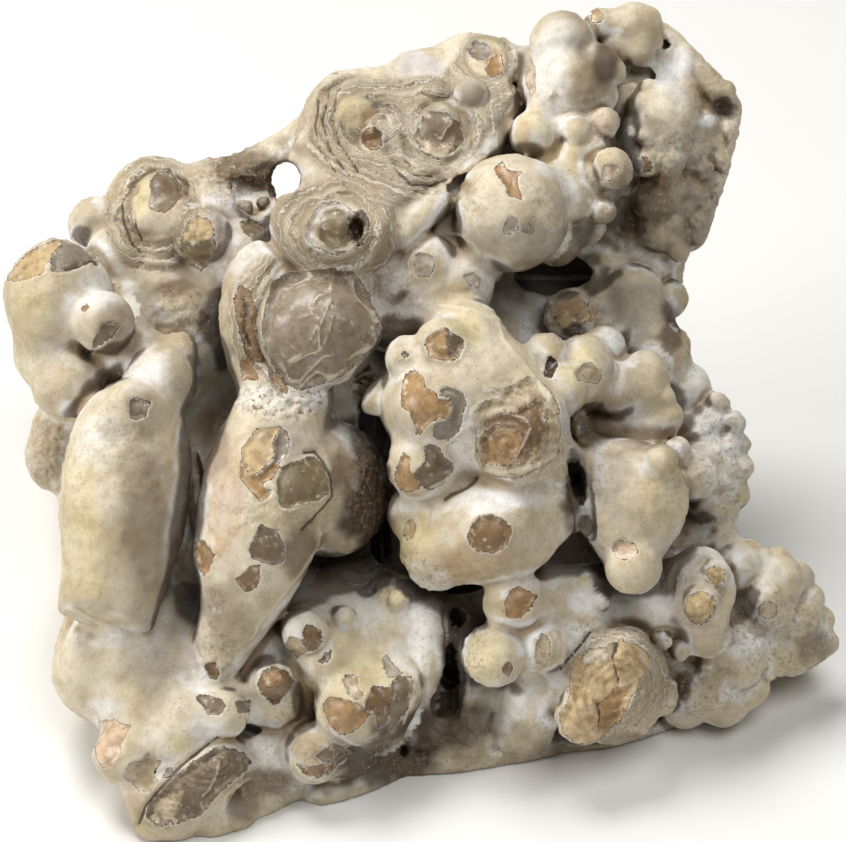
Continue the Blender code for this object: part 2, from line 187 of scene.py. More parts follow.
RIGHT_MIDDLE = [
    (548, 360, 0, 22), (585, 372, 0, 30, 38, 30, 0), (583, 394, 16, 14), (560, 392, -20, 34),
    (616, 392, -22, 30), (602, 350, -40, 24), (644, 384, -30, 27, 35, 28, 0), (664, 398, -22, 13),
    (669, 415, -28, 16), (571, 315, -112, 27), (600, 336, -98, 20), (628, 292, -112, 27),
    (604, 304, -116, 22), (640, 330, -118, 38), (668, 300, -136, 20), (666, 348, -116, 25),
    (686, 392, -100, 28), (655, 360, -92, 34), (596, 280, -155, 40), (708, 462, -92, 38),
    (718, 404, -85, 14), (732, 424, -84, 14), (738, 446, -84, 14), (738, 470, -84, 14),
    (735, 494, -88, 16), (722, 514, -92, 18), (706, 500, -90, 24), (700, 432, -78, 20),
    (712, 418, -80, 18), (690, 470, -60, 24), (640, 430, -44, 38), (600, 440, -46, 36),
    (714, 455, -66, 14), (720, 478, -70, 14), (706, 474, -62, 13),
]
UPPER_RIGHT = [
    (562, 44, -72, 33), (566, 92, -60, 44, 42, 38, 0), (598, 66, -62, 22), (612, 72, -62, 14),
    (534, 134, -34, 26), (574, 132, -30, 18), (604, 124, -38, 15), (512, 212, 4, 57, 60, 54, 0),
    (566, 192, -34, 38), (612, 170, -14, 22), (602, 212, -20, 16), (586, 224, -50, 22),
    (556, 242, -56, 26), (603, 25, -88, 18), (630, 28, -94, 26), (644, 24, -96, 20),
    (615, 50, -84, 15), (650, 92, -84, 13), (662, 100, -80, 13), (642, 108, -82, 15),
    (674, 118, -86, 22), (652, 128, -78, 18), (634, 124, -84, 11), (668, 138, -82, 13),
    (686, 128, -96, 14), (645, 163, -70, 13), (655, 150, -98, 32), (682, 104, -94, 13),
    (656, 62, -134, 32), (690, 96, -138, 32), (694, 140, -134, 34), (682, 190, -134, 34),
    (658, 200, -98, 26, 22, 20, -8), (663, 232, -108, 27, 21, 22, 0), (650, 262, -140, 24),
    (696, 212, -134, 15), [(638, 42, -86, 15), (639, 54, -84, 14), (640, 62, -88, 8)],
    [(673, 160, -76, 10), (670, 172, -78, 8), (664, 184, -84, 5)],
    [(658, 28, -118, 10), (688, 62, -122, 10), (712, 90, -120, 10), (726, 108, -124, 13),
     (716, 146, -130, 13), (714, 166, -130, 12), (702, 200, -130, 11), (692, 236, -130, 11)],
]
LOWER_RIGHT = [
    (628, 500, 8, 60, 62, 50, 0), (630, 536, 12, 38), (596, 478, -6, 40), (660, 462, 42, 18),
    (694, 474, -24, 26), (678, 450, -6, 15), (633, 566, 34, 28), (698, 592, -18, 38, 44, 36, 0),
    (717, 573, 12, 14), (703, 603, 20, 18), (704, 632, -32, 28), (766, 602, -62, 30),
    (778, 580, -70, 26), (798, 618, -80, 26), (812, 645, -100, 20), (790, 650, -100, 28),
    (828, 643, -104, 14), (747, 554, -80, 16), (777, 561, -82, 16), (796, 579, -84, 18),
    (810, 600, -84, 16), (823, 620, -94, 15), (720, 542, -90, 22), (740, 570, -70, 30),
    (735, 655, -54, 32), (704, 684, -66, 32), (722, 700, -84, 26), (744, 684, -84, 24),
    (764, 654, -84, 26), (684, 704, -86, 24), (612, 686, -10, 56, 58, 42, 20), (626, 655, 16, 28),
    (584, 714, 18, 29), (644, 668, 0, 22), (655, 694, -28, 24), (514, 600, 22, 31),
    (546, 606, -16, 40), (496, 654, 18, 32), (542, 647, 14, 27), (520, 640, -14, 38),
    (580, 600, -24, 36), (576, 630, -14, 34), (587, 580, -4, 12), (535, 700, -44, 34),
    (520, 722, -70, 34), (610, 596, -40, 38), (655, 600, -44, 42), (560, 660, -34, 44),
]
LOWER_MIDDLE = [
    (332, 640, -30, 54), (304, 628, 8, 25), (342, 622, -2, 18), (326, 660, 10, 30),
    (273, 681, 4, 27), (274, 680, 36, 18), (398, 628, -28, 42, 50, 40, 0), (397, 600, 8, 12),
    (426, 645, -14, 25, 52, 30, 0), (366, 696, -6, 50, 56, 44, 0), (350, 708, 12, 34),
    (388, 692, 8, 30), (318, 750, -8, 36, 28, 32, 0), (435, 720, -90, 42), (290, 730, -36, 36),
    (340, 745, -30, 36), (457, 731, -70, 38), (380, 752, -58, 26),
    [(212, 692, 4, 20), (248, 702, 2, 20), (280, 706, 0, 20)],
    [(318, 796, -32, 16), (340, 790, -40, 18), (362, 783, -48, 19), (400, 764, -68, 19),
     (440, 762, -70, 20), (480, 757, -76, 20), (520, 752, -84, 20), (560, 744, -94, 20),
     (600, 742, -98, 20), (640, 732, -110, 20), (684, 710, -130, 20)],
]
BROKEN_RIDGE = [[(492, 140, -44, 11), (450, 190, -8, 12), (400, 236, 30, 12)]]

# Lumps that were snapped off.  Each group ends at a flat break: (column, row, out) of a point
# on it, and how far its normal points across, up and out of the sketch.
TOP_BREAK = (336, 230, 60), (0, 0.78, 1)
TOP_BROKEN = [
    (336, 228, 14, 66, 58, 60, 0), (318, 330, 36, 62, 56, 52, 0), (352, 122, -80, 50),
    (326, 166, -60, 40), (388, 118, -80, 50), (430, 98, -100, 52), (474, 80, -114, 48),
    (503, 74, -118, 32), (440, 140, -60, 54), (400, 180, -30, 50), (480, 120, -80, 44),
    (330, 190, -30, 40), (450, 200, -40, 34), (370, 200, -10, 50),
]
LEFT_BREAK = (155, 210, -40), (0, 0.74, 1)
LEFT_BROKEN = [(155, 208, -78, 51)]
FINGER_BREAK = (104, 622, 30), (-0.2, -1, 0.3)
LEFT_FINGER = [
    [(130, 440, 28, 58), (126, 480, 34, 62), (123, 510, 34, 61), (119, 546, 32, 56),
     (112, 584, 28, 50), (104, 620, 26, 43), (98, 650, 26, 38)],
]

# Hollows: lumps that are taken away
HOLLOWS = [
    (250, 194, -44, 22), (278, 198, -30, 14),          # shaded pocket under the upper edge
    (342, 228, 66, 20, 18, 34, 0),                     # mouth of the snapped stalactite's tube
]
THROUGH_HOLE = [(287, 179, -260, 16), (287, 179, 40, 13)]

# Groups of lumps, in the order in which they are added, and those that end at a flat break
WHOLE_GROUPS = [
    SHOULDER, LOWER_LEFT, UPPER_LEFT, MIDDLE_FINGER, CENTRE_CLUSTER, RIGHT_MIDDLE, UPPER_RIGHT,
    LOWER_RIGHT, LOWER_MIDDLE, BROKEN_RIDGE,
]
BROKEN_GROUPS = [
    (TOP_BROKEN, TOP_BREAK),
    (LEFT_BROKEN, LEFT_BREAK),
    (LEFT_FINGER, FINGER_BREAK),
]

# Small lumps, added once the first hollows are cut
FINE_LUMPS = [
    # top break, upper left and the pocket under the upper edge
    (472, 95, -50, 15), (437, 92, -53, 10), (370, 134, -19, 9), (376, 147, -11, 7),
    (440, 130, -28, 27, 27, 18, 0), (355, 112, -46, 24, 20, 20, 0), (158, 206, -62, 24, 30, 20, 0),
    (166, 262, -62, 17), (551, 95, -20, 3), (610, 212, -10, 8), (236, 186, -58, 6),
    (262, 202, -52, 7), (246, 208, -44, 7), (270, 188, -66, 6), (228, 176, -70, 6),
    # lower right edge
    (748, 548, -70, 8), (764, 556, -70, 9), (780, 566, -72, 9), (794, 582, -74, 9),
    (806, 598, -76, 8), (818, 614, -82, 9), (830, 636, -92, 8), (770, 575, -52, 10),
    (788, 596, -58, 9), (800, 620, -62, 9), (776, 624, -58, 8), (760, 642, -54, 9),
    (744, 662, -40, 9), (728, 648, -34, 10), (792, 642, -74, 9), (812, 640, -82, 9),
    (770, 668, -66, 9), (750, 690, -68, 10), (730, 706, -70, 9), (708, 702, -60, 10),
    (716, 680, -46, 9),
    # lower middle knobs, the slope beside the tube, and fillings between the knobs
    (308, 630, 18, 23), (342, 622, 4, 16), (352, 706, 24, 36), (390, 692, 12, 28),
    (318, 752, 7, 30), (660, 196, -98, 22), (390, 278, 2, 28), (352, 280, 28, 22),
    (205, 300, -52, 30), (208, 345, -66, 34), (768, 600, -42, 21), (738, 566, -52, 20),
    (303, 630, 35, 22), (344, 618, 14, 14),
    # popcorn, and ridges on its rim
    (662, 94, -72, 8), (648, 86, -76, 8), (640, 104, -72, 7), (666, 112, -66, 9),
    (684, 110, -82, 8), (644, 138, -66, 9), (658, 142, -68, 8), (676, 140, -74, 8),
    (632, 134, -78, 8), (655, 116, -64, 8), (706, 122, -98, 11), (727, 132, -112, 10),
    (715, 143, -103, 9), (695, 150, -95, 13), (718, 158, -106, 11), (702, 169, -95, 11),
    (690, 166, -93, 7), (712, 183, -106, 12), (697, 193, -97, 12), (705, 206, -104, 10),
    (697, 222, -102, 12), (697, 237, -106, 9), (674, 224, -92, 11), (678, 249, -104, 12),
    (685, 208, -97, 11), (683, 184, -92, 12), (665, 116, -92, 34), (640, 140, -96, 24),
    [(686, 50, -112, 4), (684, 63, -107, 5), (682, 75, -103, 5), (688, 88, -101, 5)],
    [(690, 92, -100, 4), (689, 100, -98, 4), (694, 108, -99, 5)],
    [(692, 66, -114, 6), (704, 82, -112, 8), (716, 92, -110, 7), (727, 92, -111, 4)],
    # round bulge under the olive spot, and the middle finger's right lobe
    [(300, 478, 44, 34), (306, 484, 50, 32)], (262, 454, 62, 30),
    [(316, 482, 8, 54), (338, 490, -14, 50)],
    # here and there
    (471, 684, -40, 12), (601, 601, 8, 8), (245, 800, 6, 6, 22, 6, 10), (554, 130, -38, 17),
    (590, 126, -42, 14), (545, 108, -42, 20), (600, 96, -68, 18), (590, 150, -36, 16),
    (572, 158, -32, 18), (622, 20, -92, 12), (652, 40, -96, 12),
    # right edge
    (717, 402, -72, 11), (733, 423, -72, 12), (731, 444, -72, 12), (744, 466, -76, 12),
    (712, 424, -70, 10), (722, 484, -76, 11), (719, 661, -42, 13), (705, 668, -38, 10),
    (680, 650, -24, 11), (662, 640, -12, 10),
]
# Small hollows, recesses and clefts, cut after them
FINE_HOLLOWS = [
    (358, 228, 52, 6, 12, 20, 0), [(714, 113, -102, 6), (724, 106, -106, 9), (731, 112, -112, 7)],
    (509, 87, -90, 8), (392, 106, -38, 5), (252, 190, -66, 24, 15, 18, -10),
    (268, 322, 42, 5, 12, 8, 0), (276, 268, 34, 5), (206, 314, -18, 5),
    (172, 288, -8, 18, 9, 10, 10), (672, 328, -100, 8, 20, 12, 0),
    [(568, 456, 54, 8), (577, 470, 50, 12), (581, 490, 46, 12), (584, 512, 44, 10),
     (586, 532, 34, 10)],
    [(572, 462, 30, 10), (577, 478, 24, 14), (581, 500, 18, 13), (586, 530, 10, 12),
     (588, 552, 0, 13)],
    [(572, 468, 4, 12), (577, 485, -8, 14), (582, 510, -20, 13), (586, 545, -30, 13)],
    [(452, 600, -20, 14), (450, 640, -10, 15), (448, 680, -15, 18), (445, 708, -25, 15)],
    [(452, 620, -50, 14), (448, 660, -50, 20), (444, 700, -50, 20)], (374, 425, -85, 16, 30, 60, 0),
    [(636, 440, -26, 6), (652, 440, -22, 7), (666, 444, -26, 6)], (432, 730, -14, 40, 22, 20, 0),
    [(226, 727, 12, 4), (240, 724, 6, 8), (256, 732, -6, 9), (270, 730, -8, 6), (284, 742, -12, 9)],
    [(622, 76, -86, 7), (634, 72, -88, 9), (646, 78, -92, 8)],
    [(656, 52, -108, 7), (668, 46, -114, 6)], (378, 500, -90, 12, 74, 50, 4),
    (196, 500, -70, 10, 70, 36, 6), (450, 644, -80, 15, 44, 50, 0), (456, 582, -70, 30, 13, 44, 0),
    (560, 276, -150, 46, 20, 44, 0), (505, 300, -100, 12, 18, 30, 0),
    [(346, 782, -50, 8), (372, 760, -50, 13), (398, 752, -56, 11)],
    [(404, 134, -15, 5), (412, 146, -6, 7), (428, 158, 3, 9), (444, 160, 5, 9), (458, 150, -2, 7),
     (468, 134, -15, 5), (465, 116, -29, 5), (457, 105, -37, 3)],
    [(388, 112, -33, 4), (384, 124, -22, 6), (390, 138, -12, 7), (394, 152, 0, 6),
     (406, 168, 11, 4)],
    [(450, 193, 4, 6), (463, 184, -4, 8), (476, 176, -14, 6)],
    [(133, 194, -50, 4), (136, 182, -59, 4), (145, 173, -66, 4), (158, 169, -70, 3)],
    [(178, 177, -65, 3), (185, 188, -57, 4), (186, 202, -48, 3)],
]

# The snapped tube's mouth, and the thin plug that closes it lower down
TUBE_MOUTH = (341, 229, 62, 20, 21, 13, 0)
TUBE_PLUG = (334, 229, 43, 17, 20, 10, 0)

# Pieces of the surface, and the groups that each takes in
PIECES = {
    "left_finger_and_shoulder": (SHOULDER, LEFT_FINGER, UPPER_LEFT, LEFT_BROKEN),
    "lower_left_mass": (LOWER_LEFT,),
    "middle_finger": (MIDDLE_FINGER,),
    "centre_cluster": (CENTRE_CLUSTER,),
    "broken_top": (TOP_BROKEN, BROKEN_RIDGE),
    "upper_right_popcorn": (UPPER_RIGHT,),
    "right_middle_bulbs": (RIGHT_MIDDLE,),
    "lower_right_nodules": (LOWER_RIGHT,),
    "lower_middle_knobs": (LOWER_MIDDLE,),
}
BLOCK_PIECES = ["left_flank", "right_flank", "broken_back", "underside"]
BACK_REACH_MM = 6.3            # the broken back's faces lie this near to it
UNDERSIDE_MM = 0.3

# ---------------------------------------------------------------- colours, as seen in daylight
CREAM = (226, 216, 194)
WHITE = (240, 240, 239)
TAN = (194, 178, 150)
YELLOWISH = (224, 211, 172)
GREY = (176, 167, 153)
GREY_BROWN = (134, 118, 98)
DARK_BROWN = (76, 60, 44)
BROWN = (140, 113, 82)
PINKISH = (218, 198, 178)
AMBER = (178, 144, 100)
PALE_AMBER = (200, 176, 134)
ORANGE = (178, 142, 104)
OLIVE = (142, 128, 100)
LILAC_GREY = (212, 208, 206)
DOME_GREY = (152, 139, 122)
PEACH = (218, 192, 164)
STONE_GREY = (148, 138, 124)
DEEP_TAN = (108, 90, 68)

# Soft zones of the coat's colour, some of them painted shade and painted light where the lamps leave a side
# dark or lit: (column, row, width, height, turn, colour, strength)
COAT_SHADE_AND_LIGHT_ZONES = [
    # shoulder and left finger
    (60, 310, 60, 60, 0, TAN, 0.55), (30, 300, 22, 50, 0, YELLOWISH, 0.5),
    # grey-brown (146, 325) and (114, 326): painted shade on the shoulder knob's right side
    (100, 290, 26, 22, 0, WHITE, 0.8), (146, 325, 22, 50, 12, GREY_BROWN, 0.6),
    (114, 326, 18, 26, 0, GREY_BROWN, 0.7), (134, 268, 16, 22, 0, GREY_BROWN, 0.5),
    (142, 400, 20, 18, 0, GREY_BROWN, 0.5), (75, 300, 18, 14, 0, WHITE, 0.6),
    (140, 366, 30, 26, 0, WHITE, 0.8), (115, 350, 26, 14, 20, TAN, 0.8),
    (142, 300, 18, 34, 0, GREY, 0.9), (60, 380, 34, 26, 0, TAN, 0.5),
    (180, 370, 16, 34, 0, GREY, 0.6), (82, 540, 28, 110, 8, YELLOWISH, 0.7),
    # grey-brown (152, 530): painted shade down the left finger's right side
    (152, 530, 30, 110, 12, GREY_BROWN, 0.6), (100, 440, 30, 26, 0, WHITE, 0.5),
    (46, 440, 26, 40, 0, TAN, 0.6), (120, 430, 22, 12, 0, GREY, 0.7),
    (92, 606, 30, 10, -10, GREY, 0.5),
    # upper left
    (90, 222, 24, 30, 0, TAN, 0.7), (92, 224, 12, 10, 0, GREY, 0.9),
    (160, 210, 52, 58, 0, TAN, 0.9), (142, 195, 12, 24, 0, YELLOWISH, 0.9),
    (162, 228, 20, 13, 0, GREY, 0.8), (240, 262, 26, 26, 20, WHITE, 1.0),
    (226, 208, 26, 26, 0, LILAC_GREY, 0.9), (200, 240, 22, 30, 0, GREY, 0.6),
    (195, 285, 44, 24, 0, TAN, 0.8), (190, 320, 34, 30, 0, TAN, 0.7),
    (174, 288, 24, 10, 10, GREY_BROWN, 1.0), (207, 316, 8, 8, 0, BROWN, 0.7),
    # grey-brown (244, 172) and dark brown (262, 180): the pocket's own brown, darkened further by painted
    # shade
    (244, 172, 50, 30, -10, GREY_BROWN, 1.0), (262, 180, 28, 18, 0, DARK_BROWN, 1.0),
    (300, 148, 30, 10, -20, GREY_BROWN, 0.7),
    # middle finger
    (248, 320, 30, 70, 0, TAN, 0.9), (324, 318, 52, 46, 0, DOME_GREY, 1.0),
    (388, 286, 32, 50, 0, LILAC_GREY, 1.0), (282, 398, 54, 22, 0, WHITE, 0.6),
    (224, 490, 26, 90, 10, PINKISH, 0.8), (214, 450, 14, 40, 0, GREY_BROWN, 0.6),
    (310, 560, 26, 60, 24, GREY_BROWN, 0.9), (218, 548, 8, 12, 0, PEACH, 0.9),
    # dark brown (366, 500) and grey-brown (346, 470): painted shade on the middle finger's right lobe and
    # in the gap beside it
    (366, 500, 28, 70, 0, DARK_BROWN, 1.0), (346, 470, 20, 30, 0, GREY_BROWN, 1.0),
    (236, 350, 12, 44, 0, CREAM, 0.6), (226, 610, 26, 40, 0, GREY_BROWN, 0.6),
    (234, 522, 5, 8, 0, YELLOWISH, 0.9), (280, 440, 34, 24, 0, GREY, 0.5),
    # centre cluster
    (424, 262, 22, 22, 0, TAN, 0.6), (470, 275, 16, 20, 0, GREY, 0.6),
    (445, 250, 26, 12, 0, WHITE, 0.6), (452, 300, 20, 20, 0, TAN, 0.6),
    (466, 330, 22, 20, 0, YELLOWISH, 1.0), (500, 350, 26, 26, 0, CREAM, 0.5),
    (400, 420, 26, 40, 0, CREAM, 0.5), (466, 440, 14, 50, 0, WHITE, 0.6),
    (420, 545, 24, 36, 0, YELLOWISH, 1.0), (500, 505, 44, 14, 10, WHITE, 0.9),
    (470, 560, 60, 26, 0, AMBER, 0.5), (572, 420, 16, 26, 0, LILAC_GREY, 0.9),
    # top break
    (330, 130, 40, 60, 0, TAN, 0.8), (420, 64, 34, 16, -20, LILAC_GREY, 0.9),
    (355, 112, 18, 18, 0, YELLOWISH, 0.7), (370, 114, 10, 7, 0, ORANGE, 0.7),
    (480, 50, 12, 11, 0, STONE_GREY, 0.9), (495, 62, 10, 14, 0, AMBER, 0.8),
    (472, 94, 14, 14, 0, STONE_GREY, 0.8), (436, 92, 9, 9, 0, STONE_GREY, 0.6),
    (438, 128, 26, 24, 0, STONE_GREY, 0.9), (390, 130, 8, 9, 0, LILAC_GREY, 0.9),
    (440, 170, 70, 20, -36, CREAM, 0.7), (330, 240, 70, 50, 0, TAN, 0.8),
    (316, 240, 12, 16, 30, LILAC_GREY, 0.9), (330, 205, 14, 5, 0, GREY, 0.9),
    (463, 184, 18, 8, -38, BROWN, 0.9), (396, 190, 20, 10, 40, LILAC_GREY, 0.8),
    # popcorn
    # white (548, 70): painted light on the lit left side of the popcorn's column; grey-brown (584, 78):
    # painted shade on its right side; dark brown (606, 62) and (652, 62): painted shade in the gaps between
    # the knobs
    (548, 70, 34, 60, 0, WHITE, 0.7), (584, 78, 20, 46, 0, GREY_BROWN, 0.7),
    (606, 62, 16, 26, 0, DARK_BROWN, 0.8), (652, 62, 24, 12, 0, DARK_BROWN, 0.6),
    # dark brown (574, 238), grey-brown (545, 262) and grey (512, 240): painted shade under the round bulb
    (574, 238, 26, 24, 0, DARK_BROWN, 0.8), (545, 262, 34, 16, 0, GREY_BROWN, 0.9),
    (640, 40, 26, 30, 0, TAN, 0.7), (674, 84, 28, 34, 0, WHITE, 1.0),
    (708, 96, 26, 34, 0, TAN, 0.9), (660, 116, 30, 36, 0, CREAM, 0.9),
    (700, 160, 26, 50, 0, GREY, 0.7), (512, 200, 50, 50, 0, CREAM, 0.6),
    (512, 240, 54, 26, 0, GREY, 0.8), (600, 122, 18, 18, 0, PINKISH, 0.7),
    (552, 168, 18, 12, 0, WHITE, 0.8), (524, 130, 10, 16, 0, PALE_AMBER, 0.7),
    (722, 108, 13, 13, 0, DARK_BROWN, 1.0), (706, 121, 10, 6, 0, WHITE, 1.0),
    # stone grey (690, 205) and grey-brown (642, 210): painted shade where the upper lumps shadow the
    # popcorn's lower right
    (640, 100, 30, 20, 0, CREAM, 0.6), (690, 205, 32, 60, 0, STONE_GREY, 0.7),
    (642, 210, 34, 44, 0, GREY_BROWN, 0.9), (560, 200, 14, 40, 0, GREY, 0.6),
    # right middle
    (612, 332, 18, 30, 20, WHITE, 1.0), (571, 315, 26, 24, 0, AMBER, 0.9),
    (640, 310, 36, 34, 0, GREY, 0.7), (580, 356, 16, 18, 0, YELLOWISH, 0.9),
    (645, 385, 22, 30, 0, CREAM, 0.5), (600, 408, 30, 16, 0, TAN, 0.8),
    (704, 376, 26, 24, 0, WHITE, 0.9), (718, 450, 34, 60, 0, WHITE, 0.9),
    (660, 500, 34, 40, 0, YELLOWISH, 0.5), (605, 485, 24, 50, 0, GREY, 0.8),
    # dark brown (598, 430) and (574, 490), grey-brown (644, 438): painted shade in the creases between the
    # centre cluster and the bulbs
    (598, 430, 26, 20, 0, DARK_BROWN, 0.9), (644, 438, 32, 14, 0, GREY_BROWN, 0.9),
    (574, 490, 14, 44, 0, DARK_BROWN, 0.9), (620, 526, 40, 24, 0, GREY, 0.5),
    (690, 470, 30, 26, 0, TAN, 0.6), (672, 330, 14, 30, 0, DARK_BROWN, 0.8),
    # lower right
    (690, 545, 30, 20, 0, WHITE, 0.7), (750, 636, 28, 26, 0, WHITE, 0.9),
    (735, 566, 44, 26, 0, WHITE, 0.8), (700, 620, 40, 30, 0, PINKISH, 0.4),
    (786, 610, 34, 30, 0, TAN, 0.4), (690, 704, 40, 20, 0, CREAM, 0.7),
    (762, 590, 14, 8, 0, WHITE, 0.8), (802, 608, 10, 9, 0, PALE_AMBER, 0.6),
    (820, 650, 24, 26, 0, GREY_BROWN, 0.7), (592, 604, 34, 22, 0, WHITE, 0.9),
    (578, 632, 18, 14, 0, WHITE, 0.9), (490, 650, 26, 26, 0, YELLOWISH, 0.6),
    (486, 600, 16, 20, 0, TAN, 0.6), (512, 705, 26, 30, 0, WHITE, 0.8),
    (522, 728, 10, 12, 0, TAN, 0.9), (656, 690, 24, 34, 0, TAN, 0.5),
    (734, 692, 18, 14, 0, WHITE, 0.7), (585, 582, 10, 9, 0, YELLOWISH, 0.7),
    # lower middle and lower left
    (330, 600, 40, 22, 0, WHITE, 0.7), (424, 620, 30, 60, 0, WHITE, 0.9),
    (394, 598, 14, 12, 0, YELLOWISH, 0.8), (250, 690, 50, 20, 0, CREAM, 0.7),
    (340, 690, 50, 50, 0, YELLOWISH, 0.6), (306, 748, 26, 22, 0, TAN, 0.9),
    (274, 752, 20, 24, 0, WHITE, 1.0), (160, 650, 50, 60, -40, GREY, 0.7),
    (80, 660, 34, 50, 0, CREAM, 0.7), (140, 810, 36, 26, 0, TAN, 0.7),
    (240, 802, 20, 30, 0, GREY_BROWN, 0.8), (205, 728, 18, 14, 0, WHITE, 0.9),
    (110, 706, 22, 12, 0, WHITE, 0.8), (181, 743, 12, 10, 0, YELLOWISH, 0.9),
    # dark brown (436, 728), (380, 765) and (450, 670), grey-brown (270, 784): painted shade in the recesses
    # under the lower knobs
    (436, 728, 60, 34, 0, DARK_BROWN, 1.0), (380, 765, 70, 26, 0, DARK_BROWN, 0.9),
    (270, 784, 30, 16, 0, GREY_BROWN, 0.9), (450, 670, 16, 60, 0, DARK_BROWN, 0.9),
    (304, 630, 20, 20, 0, WHITE, 0.7), (600, 744, 70, 12, 0, GREY_BROWN, 0.7),
    (286, 736, 6, 6, 0, PEACH, 0.9),
]

